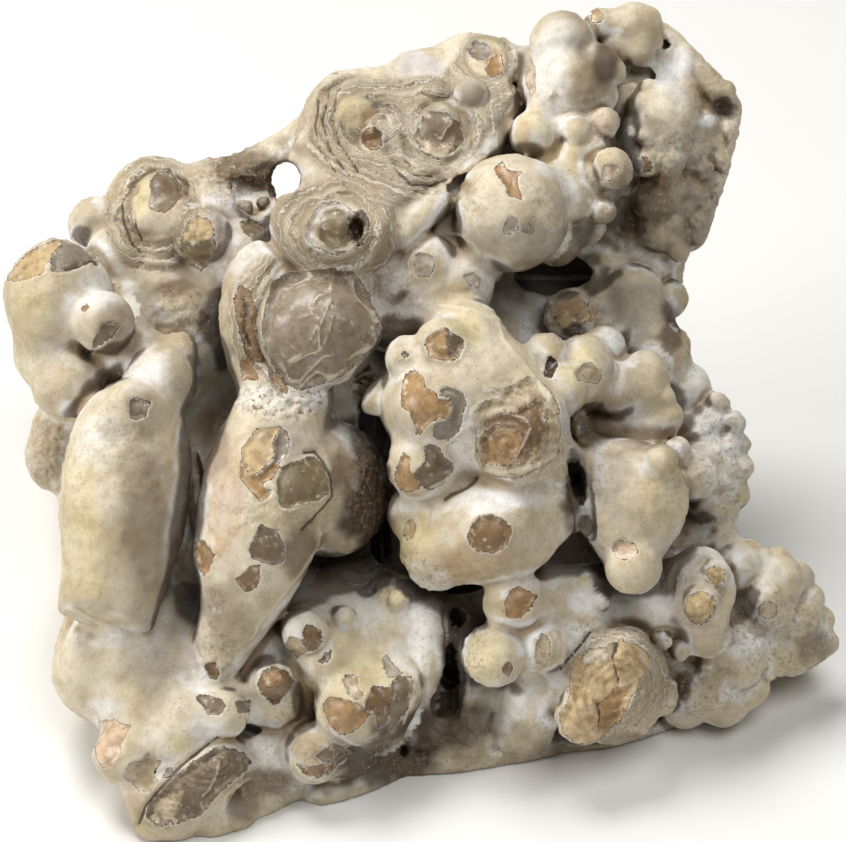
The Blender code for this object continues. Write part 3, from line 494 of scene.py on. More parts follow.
# Peeled spots, and flakes left on them: colour, depth in mm, and an outline or an oval
# (column, row, width, height, turn)
CHIPS = [
    # shoulder, left finger and upper left
    (PALE_AMBER, 0.4, [(4, 277), (11, 266), (23, 256), (39, 247), (59, 240), (62, 245), (52, 256),
        (46, 266), (44, 272), (32, 277), (16, 282), (5, 281)]),
    (STONE_GREY, 0.4, [(64, 240), (77, 241), (93, 249), (100, 258), (91, 261), (80, 266), (68, 271),
        (52, 272), (50, 262), (55, 252)]),
    (GREY_BROWN, 0.4, [(90, 352), (92, 343), (97, 334), (102, 325), (109, 321), (116, 324), (118, 327),
        (114, 334), (105, 343), (95, 349)]),
    (GREY_BROWN, 0.4, [(128, 399), (136, 396), (143, 398), (152, 402), (149, 408), (148, 418), (138, 422),
        (129, 418), (127, 409)]),
    (ORANGE, 0.2, (84, 308, 4, 3, 30)),
    (PALE_AMBER, 0.4, [(183, 238), (186, 228), (191, 221), (199, 218), (207, 221), (212, 228), (214, 236),
        (206, 239), (200, 240), (196, 243), (187, 242)]),
    (OLIVE, 0.4, [(187, 243), (196, 246), (201, 241), (210, 240), (216, 241), (211, 254), (208, 265),
        (201, 271), (194, 268), (186, 261), (181, 251)]),
    (GREY_BROWN, 0.3, [(152, 180), (155, 172), (163, 170), (171, 173), (177, 180), (183, 188), (181, 197),
        (174, 206), (165, 212), (156, 212), (149, 208), (152, 198), (151, 189)]),
    (GREY_BROWN, 0.4, [(241, 224), (248, 221), (257, 223), (263, 229), (261, 236), (251, 238), (245, 235)]),
    # snapped tube, dome, neck and middle finger
    (GREY, 0.3, (333, 228, 27, 26, 0)),
    (OLIVE, 0.0, (333, 229, 16, 19, 0)),
    (DARK_BROWN, 0.0, (359, 227, 8, 15, 0)),
    (DOME_GREY, 0.9, [(266, 304), (272, 284), (290, 273), (335, 268), (352, 273), (368, 294), (380, 318),
        (377, 346), (356, 366), (332, 380), (306, 389), (286, 384), (272, 364), (263, 336)]),
    (BROWN, 0.2, [(240, 286), (250, 292), (256, 312), (258, 340), (264, 362), (254, 362), (246, 350),
        (240, 325), (237, 300)]),
    (ORANGE, 0.4, [(240, 358), (252, 358), (255, 368), (260, 380), (243, 381), (238, 366)]),
    (BROWN, 0.4, [(268, 370), (278, 374), (285, 382), (288, 395), (280, 394), (272, 382)]),
    (PALE_AMBER, 0.35, [(257, 431), (265, 429), (279, 425), (283, 428), (276, 436), (272, 446), (274, 456),
        (268, 464), (258, 474), (251, 476), (243, 460), (242, 449), (249, 439)]),
    (STONE_GREY, 0.45, [(280, 425), (288, 432), (290, 444), (287, 455), (280, 462), (273, 465), (275, 456),
        (273, 446), (277, 436)]),
    (AMBER, 0.5, [(241, 460), (247, 469), (251, 477), (258, 475), (268, 465), (279, 464), (277, 474),
        (268, 481), (262, 484), (263, 490), (270, 491), (266, 496), (260, 500), (251, 491), (240, 478)]),
    (OLIVE, 0.3, [(278, 489), (278, 478), (282, 468), (292, 463), (301, 459), (306, 455), (313, 458),
        (320, 466), (326, 478), (328, 492), (320, 500), (308, 502), (298, 506), (288, 509), (281, 507)]),
    (GREY_BROWN, 0.4, [(260, 524), (266, 527), (277, 530), (284, 545), (284, 559), (277, 564), (264, 561),
        (252, 557), (247, 550), (254, 537)]),
    (ORANGE, 0.4, [(196, 539), (202, 541), (208, 548), (212, 555), (210, 571), (205, 577), (199, 568),
        (196, 552)]),
    (BROWN, 0.4, [(244, 572), (250, 566), (258, 567), (258, 581), (252, 591), (245, 593), (236, 586),
        (234, 578)]),
    (BROWN, 0.5, [(203, 662), (215, 662), (219, 672), (217, 680), (209, 678), (204, 670)]),
    # centre cluster
    (AMBER, 0.5, [(422, 343), (427, 335), (442, 328), (452, 332), (464, 339), (467, 347), (460, 358),
        (450, 363), (437, 362), (428, 357)]),
    (GREY_BROWN, 0.35, [(448, 331), (462, 338), (467, 345), (460, 357), (449, 361), (446, 346)]),
    (OLIVE, 0.3, [(398, 353), (406, 350), (413, 354), (406, 361), (401, 357)]),
    (AMBER, 0.5, [(406, 374), (416, 369), (425, 378), (426, 386), (437, 392), (438, 399), (449, 399),
        (452, 408), (449, 420), (440, 416), (432, 421), (425, 424), (423, 433), (416, 433), (413, 420),
        (413, 410), (404, 406), (402, 396)]),
    (STONE_GREY, 0.4, [(438, 389), (447, 386), (462, 394), (468, 401), (463, 418), (461, 428), (448, 441),
        (438, 440), (431, 433), (436, 422), (450, 421), (453, 408), (449, 398), (440, 397)]),
    (GREY_BROWN, 0.4, [(424, 447), (431, 443), (440, 445), (447, 459), (454, 467), (447, 476), (442, 483),
        (431, 488), (421, 484), (416, 470), (423, 460)]),
    (AMBER, 0.4, [(396, 479), (401, 463), (404, 453), (411, 459), (410, 472), (419, 486), (411, 492),
        (402, 489)]),
    (TAN, 0.6, [(478, 407), (484, 401), (498, 397), (508, 387), (517, 383), (529, 376), (540, 382),
        (550, 392), (556, 410), (561, 430), (559, 452), (545, 464), (518, 477), (500, 479), (484, 472),
        (475, 459), (476, 438), (480, 424)]),
    (BROWN, 0.6, [(486, 420), (500, 413), (516, 414), (524, 405), (536, 398), (547, 410), (552, 428),
        (549, 444), (534, 458), (516, 466), (500, 470), (486, 466), (480, 452), (482, 436)]),
    (AMBER, 0.4, [(483, 446), (493, 435), (502, 429), (518, 434), (517, 450), (514, 459), (505, 467),
        (493, 468), (483, 466)]),
    (BROWN, 0.45, (490, 534, 23, 20, 0)),
    (PALE_AMBER, 0.3, (410, 530, 5, 9, 0)),
    (DARK_BROWN, 0.4, [(549, 354), (557, 360), (558, 369), (552, 378), (545, 376), (544, 366)]),
    (GREY, 0.25, [(414, 254), (424, 250), (434, 256), (436, 268), (429, 276), (417, 276), (411, 265)]),
    (GREY, 0.25, [(463, 276), (472, 272), (480, 278), (477, 287), (467, 286)]),
    # top break
    (GREY_BROWN, 0.3, [(417, 122), (430, 112), (448, 113), (461, 124), (464, 140), (454, 154), (438, 159),
        (424, 152), (415, 138)]),
    (TAN, -0.3, [(424, 140), (436, 146), (448, 142), (458, 146), (450, 156), (436, 158), (426, 152)]),
    (BROWN, 0.3, (372, 140, 9, 11, 0)),
    (STONE_GREY, 0.3, (480, 50, 12, 10, 0)),
    (AMBER, 0.3, [(486, 70), (490, 58), (500, 52), (503, 62), (500, 74), (492, 78)]),
    # popcorn
    (ORANGE, 0.4, [(502, 159), (508, 167), (518, 168), (531, 169), (526, 174), (517, 178), (518, 188),
        (522, 198), (508, 197), (505, 186), (500, 179), (496, 168)]),
    (GREY, 0.25, [(506, 221), (510, 217), (517, 221), (518, 228), (510, 234), (503, 232)]),
    (GREY, 0.2, [(523, 230), (530, 226), (536, 231), (531, 236)]),
    (PALE_AMBER, 0.3, [(594, 10), (600, 12), (603, 17), (600, 23), (593, 22)]),
    (PINKISH, 0.4, [(600, 168), (605, 162), (620, 164), (621, 171), (611, 183), (601, 182)]),
    (PINKISH, 0.2, [(530, 57), (534, 68), (536, 92), (531, 96), (528, 80)]),
    (BROWN, 0.4, [(638, 157), (645, 155), (652, 162), (649, 170), (643, 173), (641, 164)]),
    # right middle
    (PALE_AMBER, 0.3, [(556, 318), (566, 309), (577, 312), (588, 304), (592, 316), (584, 326), (572, 322),
        (562, 330)]),
    (TAN, 0.25, [(575, 373), (581, 366), (590, 362), (598, 368), (603, 379), (598, 385), (588, 382),
        (577, 382)]),
    (PEACH, 0.3, [(613, 548), (622, 540), (634, 542), (640, 552), (630, 560), (618, 558)]),
    # lower right
    (PALE_AMBER, 0.35, [(706, 568), (716, 565), (724, 570), (724, 580), (716, 583), (706, 577)]),
    (PALE_AMBER, 0.4, (700, 606, 15, 16, 0)),
    (TAN, 0.3, (768, 611, 11, 9, 0)),
    (ORANGE, 0.4, [(507, 590), (519, 585), (530, 589), (537, 597), (529, 611), (520, 617), (507, 616),
        (504, 603)]),
    (TAN, 0.4, [(540, 633), (547, 634), (552, 644), (551, 656), (545, 665), (536, 662), (535, 648)]),
    (BROWN, 0.35, [(502, 666), (508, 661), (513, 667), (509, 677), (504, 674)]),
    (PALE_AMBER, 0.9, [(573, 657), (583, 651), (599, 647), (612, 644), (622, 640), (638, 646), (645, 655),
        (647, 667), (639, 680), (630, 697), (621, 719), (610, 730), (594, 741), (577, 742), (565, 733),
        (559, 722), (562, 712), (568, 703), (571, 690), (570, 673)]),
    (AMBER, 0.15, [(603, 702), (616, 690), (626, 694), (622, 712), (612, 728), (603, 730), (606, 716)]),
    (CREAM, -0.35, [(579, 658), (590, 650), (608, 647), (616, 643), (615, 652), (608, 660), (596, 661),
        (584, 664)]),
    # lower middle
    (BROWN, 0.4, [(258, 684), (264, 671), (272, 667), (288, 671), (294, 680), (284, 696), (281, 704),
        (272, 707), (266, 696)]),
    (AMBER, -0.3, (273, 679, 10, 10, 0)),
    (BROWN, 0.4, [(303, 631), (306, 624), (312, 625), (320, 633), (318, 646), (311, 650), (305, 643)]),
    (TAN, 0.3, [(286, 642), (290, 638), (303, 641), (306, 650), (299, 657), (290, 650)]),
    (GREY_BROWN, 0.3, [(316, 662), (325, 653), (331, 651), (331, 658), (325, 664)]),
    (AMBER, 0.45, [(321, 705), (327, 697), (340, 697), (357, 703), (369, 714), (358, 727), (348, 738),
        (338, 736), (329, 724)]),
    (TAN, 0.3, [(340, 677), (348, 673), (357, 675), (358, 687), (363, 696), (356, 700), (347, 695)]),
    (BROWN, 0.35, [(367, 701), (372, 687), (381, 684), (391, 688), (391, 702), (386, 724), (378, 728),
        (376, 714), (366, 711)]),
    (GREY_BROWN, 0.3, [(391, 684), (399, 676), (408, 678), (412, 693), (403, 717), (391, 732), (390, 708)]),
    (GREY, 0.2, [(380, 659), (386, 654), (394, 662), (402, 673), (388, 677)]),
    (GREY_BROWN, 0.35, [(312, 756), (325, 748), (333, 741), (345, 748), (352, 753), (338, 759),
        (325, 763)]),
    (BROWN, 0.35, [(297, 763), (311, 766), (337, 760), (331, 772), (320, 777), (303, 772)]),
    # lower left
    (PEACH, 0.3, [(100, 721), (117, 720), (130, 725), (122, 742), (111, 766), (103, 768), (95, 754),
        (94, 735)]),
    (TAN, 0.3, [(147, 749), (161, 762), (154, 774), (158, 782), (150, 793), (138, 791), (125, 778),
        (129, 766), (141, 760)]),
    (GREY_BROWN, 0.8, [(145, 818), (149, 802), (165, 787), (181, 770), (197, 759), (218, 746), (243, 751),
        (250, 762), (241, 777), (221, 791), (210, 806), (197, 817), (177, 822), (157, 827)]),
    (TAN, 0.15, [(150, 822), (154, 806), (168, 793), (184, 790), (180, 806), (170, 821)]),
    (GREY_BROWN, 0.35, [(194, 697), (207, 694), (223, 697), (228, 706), (220, 717), (207, 715),
        (200, 704)]),
    (STONE_GREY, 0.35, [(234, 703), (240, 700), (250, 702), (250, 713), (238, 713)]),
    (GREY, 0.3, [(163, 777), (167, 769), (173, 767), (171, 774)]),
]

# Growth layers: middles (column, row, how much taller the rings really are, a lead in mm), how
# clearly they show, and the outline or oval of the broken face
TUBE = (336, 230, 1.12, 0.0)
RINGS = [
    ([(438, 132, 1.2, 0.0), (380, 124, 1.3, 1.0), (486, 58, 1.1, 2.5)], 0.9,
     [(306, 150), (318, 96), (330, 74), (395, 76), (440, 80), (470, 36), (505, 32), (520, 60),
      (512, 96), (500, 128), (460, 168), (420, 200), (380, 214), (330, 186)]),
    ([TUBE], 0.9, (338, 228, 66, 52, 0)),
    ([(157, 208, 1.05, 0.0)], 0.95, (152, 214, 48, 58, 0)),
    ([(328, 322, 1.0, 0.0)], 1.0,
     [(262, 250), (246, 266), (232, 288), (226, 320), (229, 350), (238, 362), (262, 384),
      (286, 397), (292, 386), (274, 364), (264, 334), (266, 304), (272, 284), (284, 262)]),
    ([(699, 606, 1.0, 0.0), (708, 580, 1.0, 0.6)], 0.5,
     [(665, 563), (689, 550), (718, 559), (730, 572), (724, 607), (707, 636), (682, 624),
      (668, 590)]),
    ([(200, 232, 1.0, 0.0)], 0.6, (204, 228, 21, 26, 0)),
    ([(450, 724, 1.4, 0.0), (470, 740, 0.9, 1.5)], 0.25, (462, 736, 30, 26, 0)),
    ([(505, 447, 1.0, 0.0)], 0.8, (516, 430, 42, 50, 0)),
    ([(612, 690, 1.0, 0.0)], 0.7, (618, 676, 56, 54, 20)),
    ([(216, 760, 1.4, 0.0)], 0.6, (196, 786, 64, 22, 40)),
]
# Calm places inside them, where a smooth layer shows
RING_CALM = [
    (334, 228, 31, 28, 0), (157, 204, 26, 34, 0), (440, 130, 26, 25, 0), (472, 95, 14, 14, 0),
    (356, 112, 18, 16, 0), (486, 58, 18, 18, 0), (372, 140, 11, 14, 0),
]

# Raised veins and sunk cracks: width in mm, and points as column and row
VEINS = [
    (0.24, [(335, 272), (331, 285), (332, 297), (324, 314), (318, 332), (320, 350), (315, 357)]),
    (0.21, [(330, 290), (318, 293), (312, 302), (311, 313), (297, 318)]),
    (0.21, [(312, 312), (318, 322), (309, 342), (300, 356), (287, 363)]),
    (0.21, [(333, 315), (330, 333), (321, 352), (306, 357), (288, 366)]),
    (0.27, [(336, 357), (324, 358), (309, 374), (300, 382), (290, 380), (279, 366)]),
    (0.24, [(348, 369), (330, 379), (317, 375), (300, 387)]),
    (0.18, [(280, 282), (294, 280), (311, 274)]),
    (0.21, [(350, 273), (358, 294), (374, 312), (380, 328), (374, 346), (350, 362)]),
    (0.30, [(320, 532), (320, 545), (300, 575), (280, 598), (262, 620), (251, 640)]),
    (0.27, [(281, 509), (290, 510), (308, 502)]),
    (0.36, [(440, 306), (475, 309), (498, 320), (505, 338), (536, 378), (551, 395)]),
    (0.24, [(468, 426), (450, 440), (443, 447), (454, 467), (443, 483), (422, 491)]),
    (0.24, [(483, 417), (500, 412), (525, 417), (532, 427), (523, 447), (516, 459)]),
    (0.42, [(540, 383), (549, 397), (554, 414)]),
    (0.42, [(476, 455), (482, 469), (499, 475), (520, 472), (538, 465), (556, 455)]),
    (0.30, [(468, 525), (476, 517), (488, 513), (503, 517), (513, 527)]),
    (0.24, [(220, 761), (217, 777), (210, 791), (203, 798)]),
    (0.54, [(250, 778), (236, 786), (226, 795), (222, 806), (225, 824)]),
    (0.18, [(213, 699), (210, 710)]),
    (0.30, [(404, 675), (412, 683), (413, 697), (402, 722)]),
    (0.24, [(298, 769), (308, 778), (322, 779), (336, 768), (346, 758)]),
    (0.30, [(317, 704), (318, 718), (323, 727)]),
    (0.24, [(621, 686), (631, 684), (639, 677)]),
    (0.21, [(746, 568), (760, 573), (772, 580), (777, 590)]),
    (0.24, [(403, 131), (412, 143), (426, 151), (440, 156), (454, 154)]),
    (0.21, [(441, 139), (446, 130), (453, 122)]),
    (0.30, [(563, 660), (562, 676), (566, 690), (564, 706), (557, 716)]),
    (0.24, [(563, 632), (564, 646), (560, 662)]),
    (0.24, [(554, 634), (559, 644), (558, 655)]),
    (0.21, [(576, 590), (586, 594), (596, 588)]),
    (0.18, [(576, 371), (584, 364), (595, 365), (603, 378)]),
    (0.36, [(64, 606), (80, 612), (100, 622), (120, 630)]),
    (0.30, [(447, 233), (462, 235), (474, 243), (481, 254)]),
    (0.18, [(410, 276), (408, 262), (414, 250)]),
]
CRACKS = [
    (0.45, [(137, 825), (145, 806), (159, 789), (181, 765), (200, 751), (218, 738)]),
    (0.45, [(304, 453), (313, 452), (322, 462), (330, 477), (333, 497), (313, 520), (303, 530)]),
    (0.5, [(478, 476), (466, 486), (452, 494), (444, 500)]),
    (0.35, [(616, 643), (608, 660), (611, 667), (619, 684)]),
    (0.35, [(602, 701), (605, 715), (602, 730)]),
    (0.3, [(561, 671), (570, 658), (580, 646), (592, 632)]),
    (0.45, [(243, 298), (246, 312), (244, 330), (250, 346)]),
    (0.5, [(122, 204), (124, 222), (131, 240), (140, 252)]),
    (0.45, [(137, 214), (136, 228), (142, 240)]),
    (0.4, [(66, 268), (82, 265), (92, 260), (98, 264)]),
    (0.4, [(330, 90), (322, 120), (330, 150), (350, 176)]),
    (0.35, [(340, 88), (332, 118), (340, 146), (358, 170)]),
    (0.3, [(318, 100), (314, 126), (320, 150), (336, 172)]),
    (0.4, [(396, 170), (412, 184), (430, 186), (446, 178)]),
    (0.35, [(404, 160), (416, 174), (432, 176)]),
]

# Rough crusts of grains: (column, row, width, height, turn, amount)
CRUSTS = [
    (284, 402, 52, 20, 0, 1.6), (185, 312, 44, 30, 0, 0.8), (50, 450, 24, 42, 0, 0.9),
    (216, 655, 22, 26, 0, 1.0), (216, 612, 12, 26, 0, 1.0), (714, 90, 26, 50, 0, 0.6),
    (690, 180, 50, 60, 0, 0.9), (722, 456, 36, 64, 0, 0.8), (780, 640, 60, 50, 0, 0.9),
    (656, 680, 26, 50, 0, 1.0), (596, 630, 40, 12, 0, 0.9), (370, 480, 24, 60, 0, 1.0),
    (390, 575, 60, 26, 0, 1.0), (465, 640, 26, 60, 0, 0.8), (430, 172, 70, 26, -36, 0.9),
    (571, 315, 32, 28, 0, 1.0), (580, 470, 30, 60, 0, 0.7), (630, 210, 40, 60, 0, 0.6),
    (640, 735, 120, 16, -8, 1.0), (450, 760, 200, 20, -3, 0.9), (270, 790, 60, 20, -20, 0.9),
    (410, 130, 60, 60, 0, 0.6), (690, 690, 60, 30, 0, 0.9), (208, 490, 14, 60, 10, 0.4),
    (385, 300, 34, 40, 0, 0.8), (250, 178, 60, 34, -14, 1.2),
]


# ---------------------------------------------------------------- sketch and world


def to_world(column, row, out):
    """World positions in mm of points of the sketch."""
    column, row, out = np.broadcast_arrays(*(np.asarray(v, float) for v in (column, row, out)))
    scale = STEP_MM * nearness_at(out)
    local = ((column - MIDDLE[0]) * scale, (MIDDLE[1] - row) * scale, out * STEP_MM)
    return np.stack(local, axis=-1) @ SIGHT.T + SKETCH_AT_MM


def to_sketch(points):
    """Columns, rows and outs of points given in world mm."""
    local = (points - SKETCH_AT_MM) @ SIGHT
    out = local[..., 2] / STEP_MM
    scale = STEP_MM * nearness_at(out)
    return MIDDLE[0] + local[..., 0] / scale, MIDDLE[1] - local[..., 1] / scale, out


def nearness_at(out):
    """How much smaller a step is at this height, so that it still looks one step long."""
    return 1 - out * STEP_MM / EYE_MM


def ramp(value, start, end):
    """0 before start, 1 after end, smooth between."""
    share = np.clip((value - start) / (end - start), 0, 1)
    return share * share * (3 - 2 * share)


# ---------------------------------------------------------------- noise

HASH_SIZE = 1 << 16
HASH_FACTORS = (73856093, 19349663, 83492791)
HASH_SEED_FACTOR = 2654435
HASH_VALUES = np.random.default_rng(11).uniform(-1, 1, HASH_SIZE).astype(np.float32)
CORNERS = [np.array((i & 1, i >> 1 & 1, i >> 2 & 1)) for i in range(8)]


def hashed(cell, seed):
    """A fixed random value from -1 to 1 for each cell of the lattice."""
    across, along, up = (cell[:, i] * HASH_FACTORS[i] for i in range(3))
    return HASH_VALUES[(across ^ along ^ up ^ (seed * HASH_SEED_FACTOR)) & (HASH_SIZE - 1)]


def smooth_noise(points, wavelength, seed=0):
    """Noise from -1 to 1 that changes over about one wavelength."""
    scaled = points / wavelength
    cell = np.floor(scaled).astype(np.int64)
    part = (scaled - cell).astype(np.float32)
    part = part * part * (3 - 2 * part)
    total = np.zeros(len(points), np.float32)
    for corner in CORNERS:
        weight = np.prod(np.where(corner == 1, part, 1 - part), axis=1)
        total += weight * hashed(cell + corner, seed)
    return total


def rough_noise(points, wavelength, octaves, seed=0):
    """Smooth noise with finer noise on it, each octave half as long and half as high."""
    total = np.zeros(len(points), np.float32)
    for octave in range(octaves):
        total += smooth_noise(points, wavelength / 2**octave, seed + octave) / 2**octave
    return total


def grains(points, size, seed=0):
    """Distance to the nearest grain's middle, in grain sizes."""
    scaled = points / size
    cell = np.floor(scaled).astype(np.int64)
    nearest = np.full(len(points), np.inf, np.float32)
    for corner in range(27):
        at = cell + np.array((corner % 3 - 1, corner // 3 % 3 - 1, corner // 9 - 1))
        shift = np.stack([hashed(at, seed + i) for i in range(3)], axis=1)
        gap = at + 0.5 + GRAIN_SCATTER * shift - scaled
        distance = np.sqrt(np.einsum("ij,ij->i", gap, gap)).astype(np.float32)
        nearest = np.minimum(nearest, distance)
    return nearest


# ---------------------------------------------------------------- distance field


def joined(a, b, blend):
    """Smooth union of two distances."""
    near = np.maximum(blend - np.abs(a - b), 0) / blend
    return np.minimum(a, b) - near * near * (blend / 4)


def carved(a, b, blend):
    """Smooth overlap: what is inside both distances."""
    return -joined(-a, -b, blend)


class Field:
    """Distances in mm on a grid over the room that the stone stands in."""

    def __init__(self):
        self.size = np.ceil((ROOM_HIGH - ROOM_LOW) / GRID_MM).astype(int) + 1
        self.values = np.full(self.size, FAR, np.float32)

    def lines(self):
        """Places in mm of the grid's lines, for each axis."""
        return [
            (ROOM_LOW[i] + GRID_MM * np.arange(self.size[i])).astype(np.float32) for i in range(3)
        ]

    def part(self, middle, reach):
        """Slices of the grid that hold a box, and the grid's lines in them."""
        first = np.clip(((middle - reach - ROOM_LOW) / GRID_MM).astype(int), 0, self.size)
        last = np.clip(((middle + reach - ROOM_LOW) / GRID_MM).astype(int) + 2, 0, self.size)
        slices = tuple(slice(a, b) for a, b in zip(first, last))
        return slices, [line[s] for line, s in zip(self.lines(), slices)]

    def near_lump(self, lump, blend):
        """Slices of the grid around a lump, its distances there, and how far it blends."""
        middle, axes, radii = lump_shape(lump)
        if blend is None:
            blend = BLEND_SHARE * float(min(radii))
        reach = np.sqrt(((axes * radii) ** 2).sum(1)) + blend + 2 * GRID_MM
        slices, lines = self.part(middle, reach)
        return slices, grid_distance(lines, middle, axes, radii), blend

    def add_lump(self, lump, blend=None):
        """Melts a lump into what is there."""
        slices, distance, blend = self.near_lump(lump, blend)
        self.values[slices] = joined(self.values[slices], distance, blend)

    def carve_lump(self, lump, blend=HOLLOW_BLEND_MM):
        """Takes a lump away from what is there."""
        slices, distance, blend = self.near_lump(lump, blend)
        self.values[slices] = carved(self.values[slices], -distance, blend)

    def sample(self, points):
        """Distances at points, read between the grid's values."""
        return self.sample_of(self.values, points)

    def sample_of(self, values, points):
        """The same for another set of values on this grid."""
        scaled = (points - ROOM_LOW) / GRID_MM
        cell = np.clip(np.floor(scaled).astype(int), 0, self.size - 2)
        part = np.clip(scaled - cell, 0, 1)
        total = np.zeros(len(points))
        for corner in CORNERS:
            weight = np.prod(np.where(corner == 1, part, 1 - part), axis=1)
            at = cell + corner
            total += weight * values[at[:, 0], at[:, 1], at[:, 2]]
        return total

    def slope(self, points):
        """Outward unit normals at points."""
        change = [self.sample(points + s) - self.sample(points - s) for s in np.eye(3) * GRID_MM]
        return unit(np.stack(change, axis=1))


def unit(vectors):
    """Vectors of length one."""
    return vectors / np.maximum(np.linalg.norm(vectors, axis=-1, keepdims=True), 1e-9)


def lump_shape(lump):
    """Middle, axes and radii in mm of a lump."""
    turn = math.radians(lump[6]) if len(lump) > 4 else 0.0
    radii = np.array(lump[3:6] if len(lump) > 4 else (lump[3],) * 3, float)
    spin = np.array(Matrix.Rotation(turn, 3, "Z"))
    scale = STEP_MM * nearness_at(lump[2])
    return to_world(*lump[:3]), SIGHT @ spin, radii * scale


def grid_distance(lines, middle, axes, radii):
    """Distance to an oval, over the grid that the lines span."""
    gaps = [line - m for line, m in zip(lines, middle)]
    gaps = np.meshgrid(*gaps, indexing="ij", sparse=True)
    if radii[0] == radii[1] == radii[2]:
        return np.sqrt(sum(v * v for v in gaps)) - radii[0]
    return oval_distance([sum(axes[i, j] * gaps[i] for i in range(3)) for j in range(3)], radii)


def oval_distance(local, radii):
    """Approximate distance to an oval, from places along its three axes."""
    first = np.sqrt(sum((v / r) ** 2 for v, r in zip(local, radii)))
    second = np.sqrt(sum((v / r**2) ** 2 for v, r in zip(local, radii)))
    return first * (first - 1) / np.maximum(second, 1e-6)


def spread(entries):
    """Every lump of a group, with fingers filled in from each lump to the next."""
    for entry in entries:
        if not isinstance(entry, list):
            yield entry, None
            continue
        for first, second in zip(entry[:-1], entry[1:]):
            gap = math.dist(first[:3], second[:3])
            count = max(2, round(gap / (FINGER_STEP * min(first[3], second[3]))))
            for i in range(count):
                share = i / count
                filled = tuple(a + (b - a) * share for a, b in zip(first, second))
                yield filled, FINGER_BLEND_MM
        yield entry[-1], FINGER_BLEND_MM


def outline_distance(outline, columns, rows):
    """Signed distance in steps to a closed outline, negative inside."""
    nearest = np.full(np.broadcast(columns, rows).shape, 1e9)
    inside = np.zeros(nearest.shape, bool)
    corners = list(outline) + [outline[0]]
    for (x0, y0), (x1, y1) in zip(corners[:-1], corners[1:]):
        nearest = np.minimum(nearest, stroke_gap(x0, y0, x1, y1, columns, rows))
        if y0 != y1:
            crosses = (rows < y0) != (rows < y1)
            inside ^= crosses & (columns < x0 + (rows - y0) * (x1 - x0) / (y1 - y0))
    return np.where(inside, -1, 1) * np.sqrt(nearest)


def stroke_gap(x0, y0, x1, y1, columns, rows):
    """Squared distance to a stroke from one point to another."""
    dx, dy = x1 - x0, y1 - y0
    share = ((columns - x0) * dx + (rows - y0) * dy) / max(dx * dx + dy * dy, 1e-9)
    share = np.clip(share, 0, 1)
    return (columns - x0 - share * dx) ** 2 + (rows - y0 - share * dy) ** 2


# ---------------------------------------------------------------- growing the stone


def block_distance(field):
    """Distance to the block: its outline, extruded away from the viewer."""
    x, y, z = np.meshgrid(*field.lines(), indexing="ij", sparse=True)
    up = SIGHT[1, 1] * (y - SKETCH_AT_MM[1]) + SIGHT[2, 1] * (z - SKETCH_AT_MM[2])
    out = SIGHT[1, 2] * (y - SKETCH_AT_MM[1]) + SIGHT[2, 2] * (z - SKETCH_AT_MM[2])
    rungs = np.arange(up.min() - GRID_MM, up.max() + 2 * GRID_MM, GRID_MM)
    columns = MIDDLE[0] + (x[:, 0, 0] - SKETCH_AT_MM[0]) / STEP_MM
    rows = MIDDLE[1] - rungs / STEP_MM
    flat = outline_distance(BLOCK_OUTLINE, columns[:, None], rows[None, :]) * STEP_MM
    nearest_rung = np.round((up[0] - rungs[0]) / GRID_MM).astype(int)
    around = flat.astype(np.float32)[:, nearest_rung]
    along = np.maximum(out - BLOCK_FRONT_MM, BLOCK_FRONT_MM - BLOCK_DEPTH_MM - out)
    return carved(around, np.broadcast_to(along, around.shape), BLOCK_BLEND_MM)


def side_knobs(seed, spacing, radii):
    """Small lumps all over the block's sides, clear of its base and its broken back."""
    dice = random.Random(seed)
    knobs = []
    depth_steps = (BLOCK_DEPTH_MM - BLOCK_FRONT_MM) / STEP_MM
    corners = BLOCK_OUTLINE + BLOCK_OUTLINE[:1]
    for start, end in zip(corners[:-1], corners[1:]):
        length = math.dist(start, end)
        inward = Vector((start[1] - end[1], end[0] - start[0])).normalized()
        for i in range(max(1, round(length / spacing))):
            share = (i + 0.5) * spacing / max(length, spacing)
            out = -depth_steps + spacing * dice.random()
            while out < BLOCK_FRONT_MM / STEP_MM + spacing:
                radius = dice.uniform(*radii)
                along = share + dice.uniform(-0.3, 0.3) * spacing / length
                spot = Vector(start).lerp(Vector(end), along) + inward * radius * KNOB_SUNK
                middle = to_world(spot.x, spot.y, out)
                margin = KNOB_MARGIN * radius * STEP_MM
                if middle[2] > margin and middle[1] < BACK_MM - margin:
                    knobs.append((spot.x, spot.y, out, radius))
                out += spacing * dice.uniform(0.8, 1.3)
    return knobs


def add_group(field, entries, blend=None):
    """Adds a group's lumps, one after the other."""
    for lump, finger_blend in spread(entries):
        field.add_lump(lump, finger_blend or blend)


def add_broken(field, entries, point, normal):
    """Adds lumps that end at a flat break, through a point and square to a direction."""
    apart = Field()
    add_group(apart, entries)
    direction = unit(SIGHT @ np.array(normal, float))
    offset = float(direction @ to_world(*point))
    x, y, z = np.meshgrid(*field.lines(), indexing="ij", sparse=True)
    plane = direction[0] * x + direction[1] * y + direction[2] * z - offset
    snapped = carved(apart.values, plane, SNAP_BLEND_MM)
    field.values = joined(field.values, snapped, SNAP_JOIN_MM)


